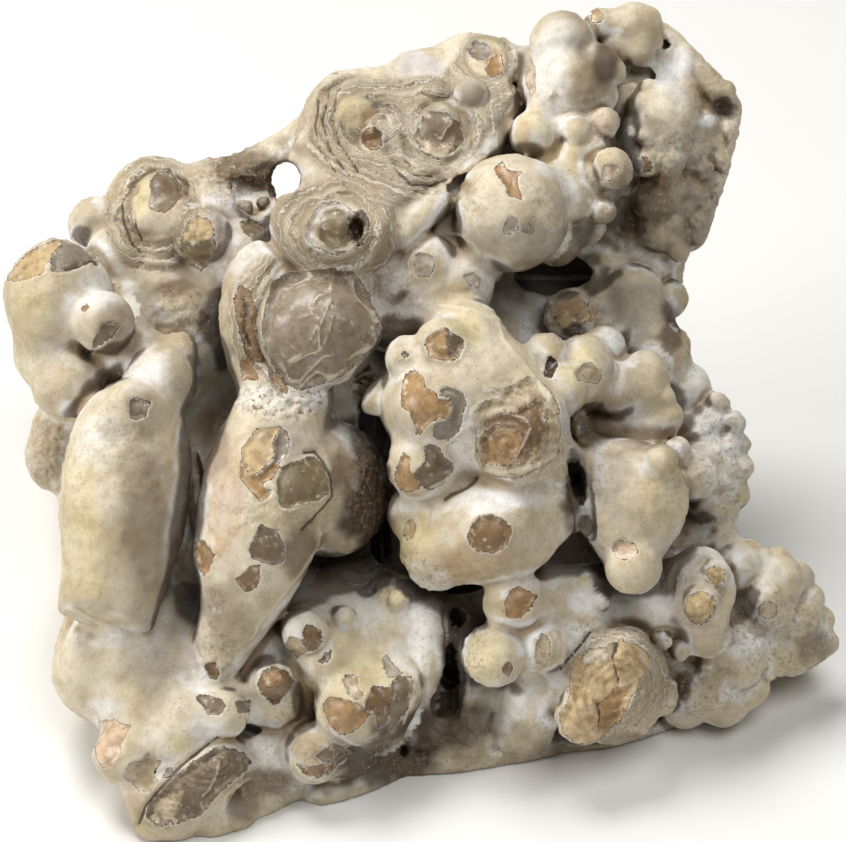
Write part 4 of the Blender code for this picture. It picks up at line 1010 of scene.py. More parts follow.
def break_off_back(field):
    """Cuts the stone off along the same uneven break as the solid has, read every few mm."""
    x, y, z = field.lines()
    spacing = 3.0
    coarse_x = np.arange(x[0], x[-1] + spacing, spacing)
    coarse_z = np.arange(z[0], z[-1] + spacing, spacing)
    relief = np.zeros((len(coarse_x), len(coarse_z)))
    for i, at_x in enumerate(coarse_x):
        for j, at_z in enumerate(coarse_z):
            spot = Vector((at_x, BACK_MM, at_z)) * BACK_GRAIN
            relief[i, j] = BACK_RELIEF_MM * noise.fractal(spot, 0.9, 2.0, 3)
    relief = blend_rows(blend_rows(relief, coarse_x, x).T, coarse_z, z).T
    break_gap = y[None, :, None] - BACK_MM - relief[:, None, :].astype(np.float32)
    field.values = carved(field.values, break_gap, BACK_BLEND_MM)


def blend_rows(table, known, wanted):
    """Table with its first axis read at the wanted places, between the known ones."""
    place = np.clip((wanted - known[0]) / (known[1] - known[0]), 0, len(known) - 1.001)
    first = place.astype(int)
    part = (place - first)[:, None]
    return table[first] * (1 - part) + table[first + 1] * part


def grow():
    """The whole stone as a field."""
    field = Field()
    field.values = block_distance(field)
    for knob_set in KNOB_SETS:
        add_group(field, side_knobs(*knob_set))
    add_group(field, BULK, BULK_BLEND_MM)
    for group in WHOLE_GROUPS:
        add_group(field, group)
    for entries, (point, normal) in BROKEN_GROUPS:
        add_broken(field, entries, point, normal)
    for lump, _ in spread([*HOLLOWS, THROUGH_HOLE]):
        field.carve_lump(lump)
    add_group(field, FINE_LUMPS)
    for lump, _ in spread(FINE_HOLLOWS):
        field.carve_lump(lump, FINE_BLEND_MM)
    field.carve_lump(TUBE_MOUTH, TUBE_BLEND_MM)
    field.add_lump(TUBE_PLUG, TUBE_BLEND_MM)
    field.whole = field.values.copy()
    break_off_back(field)
    z = field.lines()[2]
    field.values = np.maximum(field.values, -z[None, None, :])
    return field


def mesh_of(field):
    """Vertices in mm and four-sided faces of the field's zero surface."""
    grid = openvdb.FloatGrid(FAR)
    grid.copyFromArray(np.clip(field.values, -FAR, FAR))
    points, quads = grid.convertToQuads(0.0)
    return points.astype(np.float64) * GRID_MM + ROOM_LOW, quads[:, ::-1].astype(np.int64)


def largest_piece(points, quads):
    """The surface without any loose crumbs."""
    label = np.arange(len(points))
    while True:
        lowest = label[quads].min(axis=1)
        previous = label.copy()
        for corner in range(4):
            np.minimum.at(label, quads[:, corner], lowest)
        label = label[label]
        if (label == previous).all():
            break
    names, counts = np.unique(label[quads[:, 0]], return_counts=True)
    used, quads = used_by(quads[label[quads[:, 0]] == names[counts.argmax()]])
    return points[used], quads


def used_by(quads):
    """Numbers of the vertices that some faces use, and the faces with those counted anew."""
    used, places = np.unique(quads, return_inverse=True)
    return used, places.reshape(quads.shape)


# ---------------------------------------------------------------- marks on the surface


class Surface:
    """Vertices of the stone, and where they lie in the sketch."""

    def __init__(self, field, points):
        self.points = points
        self.normals = field.slope(points)
        self.column, self.row, self.out = to_sketch(points)
        self.seen = self.facing_viewer()
        self.hollow_small = self.hollowness(field, 1.5)
        self.hollow_large = self.hollowness(field, 5.0)
        self.hollow_wide = self.hollowness(field, 11.0)
        self.depth = -field.sample_of(field.whole, points)

    def facing_viewer(self):
        """True where no other part of the stone stands in front."""
        columns = (self.column / SIGHT_CELL).astype(int) + SIGHT_MARGIN
        rows = (self.row / SIGHT_CELL).astype(int) + SIGHT_MARGIN
        front = np.full((SIGHT_CELLS, SIGHT_CELLS), -np.inf)
        np.maximum.at(front, (columns, rows), self.out)
        last = SIGHT_CELLS - 1
        around = [
            front[1 + i : last + i, 1 + j : last + j] for i in (-1, 0, 1) for j in (-1, 0, 1)
        ]
        front[1:last, 1:last] = np.max(around, axis=0)
        return self.out > front[columns, rows] - SIGHT_DEPTH

    def hollowness(self, field, reach):
        """How much the stone closes in around a point: 0 on flat, up to 1 in a crevice."""
        ahead = field.sample(self.points + self.normals * reach)
        return 1 - ahead / min(reach, FAR)

    def oval(self, column, row, width, height, turn):
        """Distance to an oval's middle, in radii."""
        return oval_radii(self.column, self.row, (column, row, width, height, turn))

    def near_mark(self, outline):
        """Seen vertices near a mark of the sketch, and their signed distances to it in mm."""
        margin = MARK_REACH_MM / STEP_MM
        if isinstance(outline, list):
            low, high = np.min(outline, axis=0), np.max(outline, axis=0)
        else:
            middle, reach = np.array(outline[:2]), max(outline[2:4])
            low, high = middle - reach, middle + reach
        near = np.flatnonzero(
            self.seen
            & (self.column > low[0] - margin) & (self.column < high[0] + margin)
            & (self.row > low[1] - margin) & (self.row < high[1] + margin)
        )
        column, row = self.column[near], self.row[near]
        if isinstance(outline, list):
            return near, outline_distance(outline, column, row) * STEP_MM
        radius = min(outline[2:4]) * STEP_MM
        return near, (oval_radii(column, row, outline) - 1) * radius


def oval_radii(columns, rows, oval):
    """Distance to an oval's middle, in radii."""
    column, row, width, height, turn = oval
    angle = math.radians(turn)
    across, down = columns - column, rows - row
    along = across * math.cos(angle) - down * math.sin(angle)
    aside = across * math.sin(angle) + down * math.cos(angle)
    return np.sqrt((along / width) ** 2 + (aside / height) ** 2)


def colour(values):
    """Linear colour from one given as 0 to 255."""
    share = np.array(values, float) / 255
    return np.where(share <= 0.04045, share / 12.92, ((share + 0.055) / 1.055) ** 2.4)


def lay(base, over, share):
    """Colours with another laid over them."""
    return base + (over - base) * np.clip(share, 0, 1)[:, None]


def coat_colours(surface):
    """Colour of the unbroken coat at each vertex, with painted shade in its creases and recesses and the
    painted shade and light of the zones.
    """
    points = surface.points
    # broad clouds of colour, and stains on the sides that the sketch doesn't show
    cloud = rough_noise(points, 16.0, 3, seed=3)
    speckle = rough_noise(points, 4.0, 3, seed=9)
    base = np.tile(colour(CREAM), (len(points), 1))
    base = lay(base, colour(TAN), 0.3 + 0.6 * cloud)
    base = lay(base, colour(YELLOWISH), ramp(smooth_noise(points, 9.0, 21), 0.0, 0.8) * 0.5)
    base = lay(base, colour(GREY), ramp(smooth_noise(points, 12.0, 23), 0.1, 0.8) * 0.4)
    stain = rough_noise(points, 13.0, 3, seed=27) * ~surface.seen
    base = lay(base, colour(AMBER), 0.7 * ramp(stain, 0.25, 0.8))
    base = lay(base, colour(STONE_GREY), 0.7 * ramp(-stain, 0.25, 0.8))
    # chalk where the stone closes in a little, and the sketch's zones, some of which are painted shade and
    # painted light
    chalk = ramp(surface.hollow_large, 0.03, 0.32) * (1 - ramp(surface.hollow_small, 0.25, 0.5))
    base = lay(base, colour(WHITE), chalk * (0.8 + 0.6 * speckle))
    for zone in COAT_SHADE_AND_LIGHT_ZONES:
        near = surface.oval(*zone[:5]) + 0.35 * speckle
        base = lay(base, colour(zone[5]), (1 - ramp(near, 0.45, 1.2)) * zone[6] * surface.seen)
    # worn high spots; then painted shade: brown in narrow creases, dark brown in deep recesses
    worn = ramp(-surface.hollow_large, 0.25, 0.9) * ramp(speckle, -0.1, 0.5)
    base = lay(base, colour(GREY_BROWN), 0.3 * worn)
    crease_shade = ramp(surface.hollow_small + 0.15 * speckle, 0.22, 0.6)
    base = lay(base, colour(BROWN), 0.6 * crease_shade)
    recess_shade = ramp(surface.hollow_wide + 0.1 * speckle, 0.6, 1.0)
    base = lay(base, colour(DARK_BROWN), 0.8 * recess_shade)
    return base


def chip_marks(surface):
    """At each vertex: how far outside the peeled spots, their colour, and their depth."""
    count = len(surface.points)
    border = np.full(count, FAR_FROM_MARK_MM)
    inside = np.zeros(count, bool)
    depth = np.zeros(count)
    tint = np.tile(colour(GREY_BROWN), (count, 1))
    ragged = 0.35 * rough_noise(surface.points, 2.6, 3, seed=31)
    ragged += 0.35 * smooth_noise(surface.points, 5.5, 35)
    marks = [(entry[0], entry[1], *surface.near_mark(entry[2])) for entry in CHIPS]
    for chip_tint, chip_depth, near, gap in marks + far_chips(surface):
        gap = gap + ragged[near]
        closer = (gap < 0) | ((gap < border[near]) & ~inside[near])
        tint[near[closer]] = colour(chip_tint)
        border[near] = np.minimum(border[near], np.abs(gap))
        inside[near] |= gap < 0
        soft = 0.4 if chip_depth > 0.5 else 0.2
        depth[near] += chip_depth * (1 - ramp(gap, -2 * soft, 0.0))
    return np.where(inside, -border, border), tint, depth


def far_chips(surface):
    """Peeled spots on the sides that the sketch doesn't show, on knobs' high spots."""
    dice = random.Random(FAR_CHIP_SEED)
    high = np.flatnonzero(~surface.seen & (surface.hollow_large < -0.15) & (surface.depth < 0.3))
    marks = []
    for _ in range(FAR_CHIP_COUNT if len(high) else 0):
        middle = surface.points[high[dice.randrange(len(high))]]
        radius = dice.choice(FAR_CHIP_RADII)
        tint = dice.choice((AMBER, GREY_BROWN, OLIVE, BROWN, TAN, ORANGE))
        around = surface.points - middle
        close = (np.abs(around) < radius + MARK_REACH_MM).all(axis=1)
        near = np.flatnonzero(~surface.seen & close)
        wave = 0.3 * radius * smooth_noise(surface.points[near], 1.2 * radius, dice.randrange(99))
        marks.append((tint, 0.4, near, np.linalg.norm(around[near], axis=1) - radius + wave))
    return marks


def ring_marks(surface):
    """Distance in mm along the growth layers, and how clearly the layers show."""
    points = surface.points
    broken = ramp(surface.depth, 0.5, 1.1) * ~surface.seen
    edge = np.clip(surface.depth, 0, None)
    shown = 0.9 * broken
    sway = 1.1 * rough_noise(points, 9.0, 3, seed=51)
    for middles, strength, outline in RINGS:
        near, gap = surface.near_mark(outline)
        clear = strength * (1 - ramp(gap + 0.6 * sway[near], -0.8, 0.6))
        total = np.full(len(near), 1e-30)
        for column, row, squash, lead in middles:
            across = (surface.column[near] - column) * STEP_MM
            down = (surface.row[near] - row) * STEP_MM * squash
            total += np.exp(-(np.hypot(across, down) + lead) / RING_MELT_MM)
        clearer = clear > shown[near]
        edge[near[clearer]] = -RING_MELT_MM * np.log(total[clearer])
        shown[near[clearer]] = clear[clearer]
    for outline in RING_CALM:
        near, gap = surface.near_mark(outline)
        shown[near] *= 0.1 + 0.9 * ramp(gap + 0.2 * sway[near], -0.3, 0.3)
    return edge + sway, shown


def layer_relief(points, ring, shown):
    """Uneven steps of the growth layers, from about -1 to 1."""
    relief = np.zeros(len(points))
    for width, height, seed in ((1.9, 0.6, 57), (0.9, 0.4, 59)):
        band = (ring + 0.35 * smooth_noise(points, 2.0, 53)) / width
        step = band - np.floor(band)
        layer = hashed(np.floor(band).astype(np.int64)[:, None].repeat(3, 1), seed)
        patch = 0.6 + 0.4 * smooth_noise(points, 5.0, seed + 1)
        relief += height * patch * (layer + 0.4 - 0.9 * step)
    return relief * shown


def line_marks(surface, lines):
    """Distance in mm to the nearest of some lines of the sketch, less their half widths."""
    edge = np.full(len(surface.points), FAR_FROM_MARK_MM)
    sway = 0.14 * rough_noise(surface.points, 2.4, 2, seed=77)
    for width, line in lines:
        for start, end in zip(line[:-1], line[1:]):
            near, _ = surface.near_mark([start, end])
            gap = stroke_gap(*start, *end, surface.column[near], surface.row[near])
            gap = np.sqrt(gap) * STEP_MM - width / 2
            edge[near] = np.minimum(edge[near], gap + sway[near])
    return edge


def crust_amount(surface):
    """How rough a crust of grains the coat is at each vertex; 0 is smooth."""
    amount = 0.15 + 0.35 * ramp(smooth_noise(surface.points, 11.0, 61), 0.1, 0.8)
    for column, row, width, height, turn, strength in CRUSTS:
        near = surface.oval(column, row, width, height, turn)
        amount = np.maximum(amount, strength * (1 - ramp(near, 0.6, 1.3)) * surface.seen)
    patchy = 0.3 + 0.7 * ramp(smooth_noise(surface.points, 9.0, 63), -0.4, 0.5)
    return np.maximum(amount, ~surface.seen * 0.8 * patchy)


def carve(surface, marks):
    """Moves each vertex along its normal, by all the marks that lie there."""
    points = surface.points
    chip, _, chip_depth = marks["chip"]
    crust = marks["crust"] * (1 - 0.5 * marks["ring"][1])
    coat_only = ramp(chip, -0.1, 0.5) * 0.9 + 0.1
    coarse = grains(points, COARSE_GRAIN_MM, seed=91)
    fine = grains(points, FINE_GRAIN_MM, seed=95)
    # swells and grains of the coat
    lift = 0.28 * rough_noise(points, 5.5, 4, seed=71) * coat_only
    lift += 0.45 * rough_noise(points, 10.0, 2, seed=79)
    lift += crust * coat_only * (0.5 - coarse) * 0.8
    lift += crust * coat_only * (0.5 - fine) * 0.34
    # peeled spots and their raised rims, growth layers, veins and cracks
    lift += 0.06 * rough_noise(points, 2.2, 2, seed=73) - chip_depth
    lift += 0.12 * np.exp(-(((chip - 0.3) / 0.22) ** 2)) * (1 + smooth_noise(points, 1.6, 75))
    lift += marks["layer"]
    lift += 0.28 * (1 - ramp(marks["vein"], -0.1, 0.35))
    lift -= 0.6 * (1 - ramp(marks["crack"], -0.2, 0.4))
    # nothing moves on the flat cut at the base
    flat_base = ramp(points[:, 2], 0.05, 1.2)
    return points + surface.normals * (lift * flat_base)[:, None]


# ---------------------------------------------------------------- pieces of the surface

OWN_REACH_MM = 1.6             # a piece takes in the surface up to here from its lumps
LUMP_BOX_MARGIN_MM = 2.0
SMOOTHING_ROUNDS = 14


def nearest_group(points):
    """For each point, which of the pieces' lumps are nearest; the block itself comes last."""
    best = np.full(len(points), OWN_REACH_MM)
    owner = np.full(len(points), len(PIECES))
    for number, groups in enumerate(PIECES.values()):
        for group in groups:
            for lump, _ in spread(group):
                middle, axes, radii = lump_shape(lump)
                reach = radii.max() + LUMP_BOX_MARGIN_MM
                close = np.flatnonzero((np.abs(points - middle) < reach).all(axis=1))
                distance = oval_distance(((points[close] - middle) @ axes).T, radii)
                nearer = distance < best[close]
                best[close[nearer]] = distance[nearer]
                owner[close[nearer]] = number
    return owner


def face_owners(owner, quads):
    """Piece of each face, once each vertex has often taken over what most around it are."""
    links = np.concatenate([quads[:, (i, (i + 1) % 4)] for i in range(4)])
    here = np.concatenate((links[:, 0], links[:, 1], np.arange(len(owner))))
    there = np.concatenate((links[:, 1], links[:, 0], np.arange(len(owner))))
    kinds = len(PIECES) + 1
    for _ in range(SMOOTHING_ROUNDS):
        votes = np.bincount(here * kinds + owner[there], minlength=len(owner) * kinds)
        owner = votes.reshape(-1, kinds).argmax(axis=1)
    return np.sort(owner[quads], axis=1)[:, 1]


def share_out_block(owners, corners):
    """Parts the block's own faces, by one corner of each, into the pieces of BLOCK_PIECES."""
    first = len(PIECES)
    block = owners == first
    owners[block & (corners[:, 0] > 0)] = first + 1
    owners[block & (corners[:, 1] > BACK_MM - BACK_REACH_MM)] = first + 2
    owners[block & (corners[:, 2] < UNDERSIDE_MM)] = first + 3


def vertex_normals(points, quads):
    """Normals of the carved surface, from the faces around each vertex."""
    across = points[quads[:, 2]] - points[quads[:, 0]]
    down = points[quads[:, 3]] - points[quads[:, 1]]
    face = np.cross(across, down)
    total = np.zeros_like(points)
    for corner in range(4):
        for axis in range(3):
            total[:, axis] += np.bincount(quads[:, corner], face[:, axis], len(points))
    return unit(total)


def build_piece(name, points, normals, quads, values, material):
    """Object for some faces of the surface, with its vertices' normals and attributes."""
    used, corners = used_by(quads)
    mesh = bpy.data.meshes.new(name)
    mesh.vertices.add(len(used))
    mesh.vertices.foreach_set("co", (points[used] / MM_PER_METRE).ravel())
    mesh.loops.add(quads.size)
    mesh.loops.foreach_set("vertex_index", corners.ravel())
    mesh.polygons.add(len(quads))
    mesh.polygons.foreach_set("loop_start", np.arange(len(quads)) * 4)
    mesh.update(calc_edges=True)
    mesh.validate()
    mesh.polygons.foreach_set("use_smooth", np.ones(len(mesh.polygons), bool))
    for key, value in values.items():
        if value.ndim == 1:
            layer = mesh.attributes.new(key, "FLOAT", "POINT")
            layer.data.foreach_set("value", value[used].astype(np.float32))
        else:
            layer = mesh.attributes.new(key, "FLOAT_COLOR", "POINT")
            opaque = np.concatenate((value[used], np.ones((len(used), 1))), axis=1)
            layer.data.foreach_set("color", opaque.astype(np.float32).ravel())
    mesh.normals_split_custom_set_from_vertices(normals[used].tolist())
    mesh.materials.append(material)
    piece = bpy.data.objects.new(name, mesh)
    bpy.context.scene.collection.objects.link(piece)
    return piece


def build_stone(material):
    """Grows and carves the stone, and makes the pieces of its surface."""
    field = grow()
    points, quads = largest_piece(*mesh_of(field))
    surface = Surface(field, points)
    marks = {
        "chip": chip_marks(surface),
        "ring": ring_marks(surface),
        "vein": line_marks(surface, VEINS),
        "crack": line_marks(surface, CRACKS),
        "crust": crust_amount(surface),
    }
    marks["layer"] = layer_relief(points, *marks["ring"])
    carved_points = carve(surface, marks)
    normals = vertex_normals(carved_points, quads)
    values = {
        "coat": coat_colours(surface),
        "chip_edge": marks["chip"][0],
        "chip_tint": marks["chip"][1],
        "ring": marks["ring"][0],
        "ring_shown": marks["ring"][1],
        "layer": marks["layer"],
        "vein_edge": marks["vein"],
        "crack_edge": marks["crack"],
        "crust": marks["crust"],
    }
    owners = face_owners(nearest_group(points), quads)
    share_out_block(owners, points[quads[:, 0]])
    pieces = []
    for number, name in enumerate([*PIECES, *BLOCK_PIECES]):
        chosen = quads[owners == number]
        if len(chosen):
            pieces.append(build_piece(name, carved_points, normals, chosen, values, material))
    return pieces


# ---------------------------------------------------------------- material

# A Mix node's sockets: two colours and their mix, or two numbers and theirs
MIX_COLOURS = (6, 7)
MIX_COLOUR_RESULT = 2
MIX_NUMBERS = (2, 3)
MIX_NUMBER_RESULT = 0


class Graph:
    """Short ways of adding shader nodes to a material."""

    def __init__(self, name):
        self.material = bpy.data.materials.new(name)
        self.material.use_nodes = True
        self.tree = self.material.node_tree
        self.surface = self.tree.nodes["Principled BSDF"]
        place = self.tree.nodes.new("ShaderNodeTexCoord")
        scale = self.tree.nodes.new("ShaderNodeVectorMath")
        scale.operation = "SCALE"
        scale.inputs["Scale"].default_value = MM_PER_METRE
        self.tree.links.new(place.outputs["Object"], scale.inputs[0])
        self.place = scale.outputs[0]

    def set(self, socket, value):
        """Links a socket to another one, or sets it to a plain value."""
        if isinstance(value, bpy.types.NodeSocket):
            self.tree.links.new(value, socket)
        else:
            socket.default_value = value

    def attribute(self, name):
        """Node that reads one of the mesh's attributes."""
        node = self.tree.nodes.new("ShaderNodeAttribute")
        node.attribute_name = name
        return node

    def number(self, name):
        return self.attribute(name).outputs["Fac"]

    def tint(self, name):
        return self.attribute(name).outputs["Color"]

    def math(self, operation, a, b):
        node = self.tree.nodes.new("ShaderNodeMath")
        node.operation = operation
        self.set(node.inputs[0], a)
        self.set(node.inputs[1], b)
        return node.outputs[0]

    def times(self, a, b):
        return self.math("MULTIPLY", a, b)

    def plus(self, a, b):
        return self.math("ADD", a, b)

    def span(self, value, start, end, low=0.0, high=1.0):
        """Smooth step from low at start to high at end."""
        node = self.tree.nodes.new("ShaderNodeMapRange")
        node.interpolation_type = "SMOOTHSTEP"
        self.set(node.inputs["Value"], value)
        node.inputs["From Min"].default_value = start
        node.inputs["From Max"].default_value = end
        node.inputs["To Min"].default_value = low
        node.inputs["To Max"].default_value = high
        return node.outputs["Result"]

    def noise(self, grain_mm, detail=4.0, roughness=0.6):
        node = self.tree.nodes.new("ShaderNodeTexNoise")
        node.inputs["Scale"].default_value = 1.0 / grain_mm
        node.inputs["Detail"].default_value = detail
        node.inputs["Roughness"].default_value = roughness
        self.tree.links.new(self.place, node.inputs["Vector"])
        return node.outputs["Fac"]

    def bands(self, value, detail):
        """Noise along one number, for uneven bands."""
        node = self.tree.nodes.new("ShaderNodeTexNoise")
        node.noise_dimensions = "1D"
        node.inputs["Scale"].default_value = 1.0
        node.inputs["Detail"].default_value = detail
        self.set(node.inputs["W"], value)
        return node.outputs["Fac"]

    def cells(self, size_mm, feature):
        """Distances in a pattern of cells, to their middles or to their edges."""
        node = self.tree.nodes.new("ShaderNodeTexVoronoi")
        node.feature = feature
        node.inputs["Scale"].default_value = 1.0 / size_mm
        self.tree.links.new(self.place, node.inputs["Vector"])
        return node.outputs["Distance"]

    def mix(self, share, a, b, mode="MIX"):
        node = self.tree.nodes.new("ShaderNodeMix")
        node.data_type = "RGBA"
        node.blend_type = mode
        self.set(node.inputs["Factor"], share)
        self.set(node.inputs[MIX_COLOURS[0]], a)
        self.set(node.inputs[MIX_COLOURS[1]], b)
        return node.outputs[MIX_COLOUR_RESULT]

    def mix_number(self, share, a, b):
        node = self.tree.nodes.new("ShaderNodeMix")
        self.set(node.inputs["Factor"], share)
        self.set(node.inputs[MIX_NUMBERS[0]], a)
        self.set(node.inputs[MIX_NUMBERS[1]], b)
        return node.outputs[MIX_NUMBER_RESULT]

    def bump(self, height, distance_mm, strength, before=None):
        """Normals with a relief too fine for the mesh, on top of those of the bump before."""
        node = self.tree.nodes.new("ShaderNodeBump")
        node.inputs["Strength"].default_value = strength
        node.inputs["Distance"].default_value = distance_mm / MM_PER_METRE
        self.set(node.inputs["Height"], height)
        if before:
            self.set(node.inputs["Normal"], before)
        return node.outputs["Normal"]


def paint(values):
    """The same colour for a shader's socket."""
    return (*colour(values), 1.0)


def coat_paint(g, fine, mottle, crust):
    """Chalky coat: clouded, with dark specks, brown rough spots and white grains."""
    clouds = g.noise(7.0, 4.0, 0.6)
    coat = g.mix(g.span(mottle, 0.4, 0.7, 0.0, 0.35), g.tint("coat"), paint(TAN), "MULTIPLY")
    coat = g.mix(g.span(clouds, 0.42, 0.7, 0.0, 0.45), coat, paint(YELLOWISH), "MULTIPLY")
    coat = g.mix(g.span(fine, 0.5, 0.75, 0.0, 0.25), coat, paint(GREY_BROWN), "MULTIPLY")
    specks = g.span(g.cells(1.4, "F1"), 0.06, 0.16, 1.0, 0.0)
    rare = g.span(g.noise(5.0, 2.0), 0.56, 0.64)
    coat = g.mix(g.times(specks, g.times(rare, 0.7)), coat, paint(DARK_BROWN))
    rough_spots = g.times(crust, g.span(g.noise(0.9, 4.0), 0.5, 0.66))
    coat = g.mix(g.times(rough_spots, 0.6), coat, paint(BROWN))
    white_grains = g.times(crust, g.span(g.noise(0.6, 3.0), 0.6, 0.72))
    return g.mix(g.times(white_grains, 0.5), coat, paint(WHITE))


def layer_paint(g, fine, mottle, ring, thin):
    """Growth layers: broad bands with thin lines, dark in the steps and pale on their edges."""
    broad = g.bands(g.times(ring, 0.55), 2.0)
    layers = g.mix(g.span(broad, 0.4, 0.75), paint(OLIVE), paint(CREAM))
    layers = g.mix(g.span(thin, 0.50, 0.64, 0.0, 0.75), layers, paint(BROWN))
    layers = g.mix(g.span(thin, 0.42, 0.3, 0.0, 0.6), layers, paint(WHITE))
    layers = g.mix(g.span(mottle, 0.48, 0.64, 0.0, 0.4), layers, paint(BROWN))
    layers = g.mix(g.span(fine, 0.5, 0.7, 0.0, 0.45), layers, paint(GREY_BROWN), "MULTIPLY")
    step = g.number("layer")
    layers = g.mix(g.span(step, 0.0, -0.55, 0.0, 0.85), layers, paint(DEEP_TAN))
    return g.mix(g.span(step, 0.3, 0.75, 0.0, 0.7), layers, paint(CREAM))


def bared_paint(g, chip_edge):
    """What the peeled spots bare: mottled, with pale flecks and a faint crackle."""
    tint = g.tint("chip_tint")
    bared = g.mix(g.span(g.noise(1.8, 5.0), 0.38, 0.66, 0.0, 0.6), tint, paint(TAN), "MULTIPLY")
    bared = g.mix(g.span(g.noise(3.6, 3.0), 0.46, 0.66, 0.0, 0.4), bared, paint(GREY_BROWN))
    flecks = g.plus(g.noise(1.7, 6.0, 0.7), g.span(chip_edge, -1.4, 0.0, 0.0, 0.05))
    bared = g.mix(g.span(flecks, 0.56, 0.72, 0.0, 0.7), bared, paint(CREAM))
    crackle = g.span(g.cells(3.4, "DISTANCE_TO_EDGE"), 0.0, 0.02, 1.0, 0.0)
    return g.mix(g.times(crackle, 0.15), bared, paint(DARK_BROWN))


def lined_paint(g, base):
    """A colour with the pale veins and the dark cracks drawn on it."""
    vein = g.span(g.number("vein_edge"), 0.0, 0.14, 1.0, 0.0)
    crack = g.span(g.number("crack_edge"), -0.05, 0.12, 1.0, 0.0)
    base = g.mix(g.times(vein, 0.5), base, paint(CREAM))
    return g.mix(g.times(crack, 0.85), base, paint(DARK_BROWN))


def stone_material():
    """Chalky coat, glossy peeled spots with a painted shadow and a painted highlight along their edges,
    growth layers, veins and cracks.
    """
    g = Graph("stalactite stone")
    fine = g.noise(0.45, 5.0, 0.65)
    mottle = g.noise(2.6, 5.0, 0.6)
    crust = g.number("crust")
    ring = g.plus(g.number("ring"), g.span(g.noise(3.0, 4.0), 0.2, 0.8, -0.7, 0.7))
    thin = g.bands(g.times(ring, 3.4), 2.0)
    shown = g.times(g.number("ring_shown"), g.span(mottle, 0.3, 0.62, 1.0, 0.7))
    chip_edge = g.plus(g.number("chip_edge"), g.span(g.noise(0.6), 0.2, 0.8, -0.2, 0.2))
    chip = g.span(chip_edge, -0.03, 0.03, 1.0, 0.0)
    # masks of a painted highlight just outside each peeled spot's edge and a painted shadow just inside it
    rim_highlight = g.times(g.span(chip_edge, 0.0, 0.06), g.span(chip_edge, 0.10, 0.26, 1.0, 0.0))
    shade = g.times(chip, g.span(chip_edge, -0.12, -0.02))

    coat = coat_paint(g, fine, mottle, crust)
    base = g.mix(shown, coat, layer_paint(g, fine, mottle, ring, thin))
    base = g.mix(chip, base, bared_paint(g, chip_edge))
    # lay the painted shadow and the painted highlight on the peeled spots' edges
    base = g.mix(g.times(shade, 0.35), base, paint(DARK_BROWN))
    base = g.mix(g.times(rim_highlight, 0.3), base, paint(WHITE))
    g.set(g.surface.inputs["Base Color"], lined_paint(g, base))

    coat_roughness = g.span(mottle, 0.3, 0.7, 0.5, 0.7)
    chip_roughness = g.span(mottle, 0.3, 0.7, 0.24, 0.42)
    g.set(g.surface.inputs["Roughness"], g.mix_number(chip, coat_roughness, chip_roughness))
    g.surface.inputs["Specular IOR Level"].default_value = 0.5

    # fine relief: the chips' edges, then grains, which are fainter on the chips, then layers
    grit = g.times(fine, g.mix_number(crust, 0.35, 1.0))
    dust = g.times(g.noise(0.22, 3.0), g.mix_number(crust, 0.15, 0.5))
    relief = g.times(g.plus(grit, dust), g.mix_number(chip, 1.0, 0.2))
    normal = g.bump(g.span(chip_edge, -0.08, 0.06), 0.25, 0.8)
    normal = g.bump(relief, 0.4, 0.6, normal)
    normal = g.bump(g.times(thin, shown), 0.4, 0.6, normal)
    g.set(g.surface.inputs["Normal"], normal)
    return g.material


# ---------------------------------------------------------------- stage

LAMP_AIM_M = (0, 0, 0.045)
LAMP_AWAY_M = 1.0
# Lamps: name, direction across, up and out of the sketch, size in metres, watts and tint
LAMPS = [
    ("left lamp", (-0.9, 0.2, 0.5), 0.5, 5.8, (1.0, 0.98, 0.95)),
    ("top lamp", (-0.25, 0.92, 0.35), 0.5, 7.8, (1.0, 0.98, 0.95)),
    ("front lamp", (0.3, 0.5, 0.9), 0.6, 4.0, (1.0, 0.99, 0.97)),
]


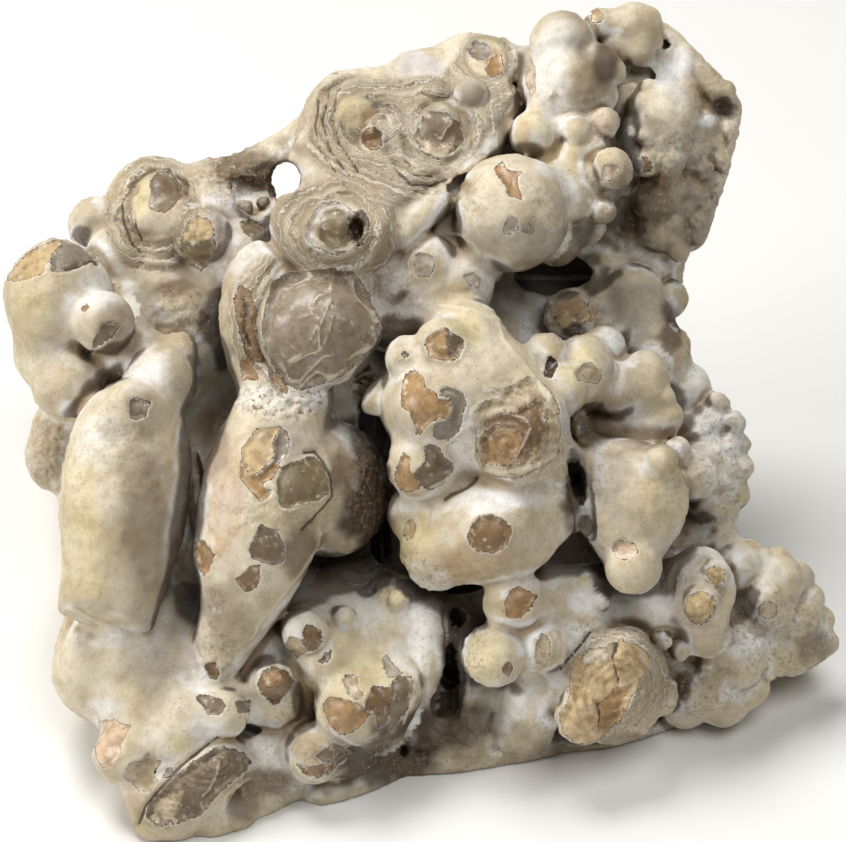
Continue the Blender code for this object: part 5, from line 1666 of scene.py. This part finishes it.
def build_floor():
    """Plain pale floor."""
    size = FLOOR_REACH_M
    mesh = bpy.data.meshes.new("floor")
    corners = [(-size, -size, 0), (size, -size, 0), (size, size, 0), (-size, size, 0)]
    mesh.from_pydata(corners, [], [(0, 1, 2, 3)])
    material = bpy.data.materials.new("floor paper")
    material.use_nodes = True
    surface = material.node_tree.nodes["Principled BSDF"]
    surface.inputs["Base Color"].default_value = (0.86, 0.86, 0.85, 1)
    surface.inputs["Roughness"].default_value = 0.8
    mesh.materials.append(material)
    floor = bpy.data.objects.new("floor", mesh)
    bpy.context.scene.collection.objects.link(floor)


def add_lamp(name, direction, size, power, tint):
    """Soft lamp that points at the stone."""
    data = bpy.data.lights.new(name, "AREA")
    data.shape = "DISK"
    data.size = size
    data.energy = power
    data.color = tint
    lamp = bpy.data.objects.new(name, data)
    bpy.context.scene.collection.objects.link(lamp)
    target = Vector(LAMP_AIM_M)
    toward = Vector(unit(SIGHT @ np.array(direction, float)))
    lamp.location = target + toward * LAMP_AWAY_M
    lamp.rotation_euler = (target - lamp.location).to_track_quat("-Z", "Y").to_euler()


def light_stage():
    """Three soft lamps, and a faint light from all around."""
    for lamp in LAMPS:
        add_lamp(*lamp)
    world = bpy.data.worlds.new("studio")
    bpy.context.scene.world = world
    world.use_nodes = True
    background = world.node_tree.nodes["Background"]
    background.inputs["Color"].default_value = (0.93, 0.95, 1.0, 1)
    background.inputs["Strength"].default_value = 0.03


def place_camera():
    """Camera at the eye that the sketch is drawn from."""
    data = bpy.data.cameras.new("camera")
    data.sensor_width = SENSOR_MM
    data.lens = SENSOR_MM * EYE_MM / (SKETCH_WIDTH * STEP_MM)
    data.clip_start = CAMERA_CLIP_M
    camera = bpy.data.objects.new("camera", data)
    bpy.context.scene.collection.objects.link(camera)
    camera.location = Vector(to_world(*MIDDLE, EYE_MM / STEP_MM) / MM_PER_METRE)
    camera.rotation_euler = (math.pi / 2 - LEAN, 0, 0)
    bpy.context.scene.camera = camera


def main():
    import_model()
    material = stone_material()
    for number, piece in enumerate(build_stone(material)):
        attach(piece, "root")
        if number == 0:
            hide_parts("stalactite")
    build_floor()
    light_stage()
    place_camera()
    scene = bpy.context.scene
    scene.view_settings.view_transform = "Standard"


main()
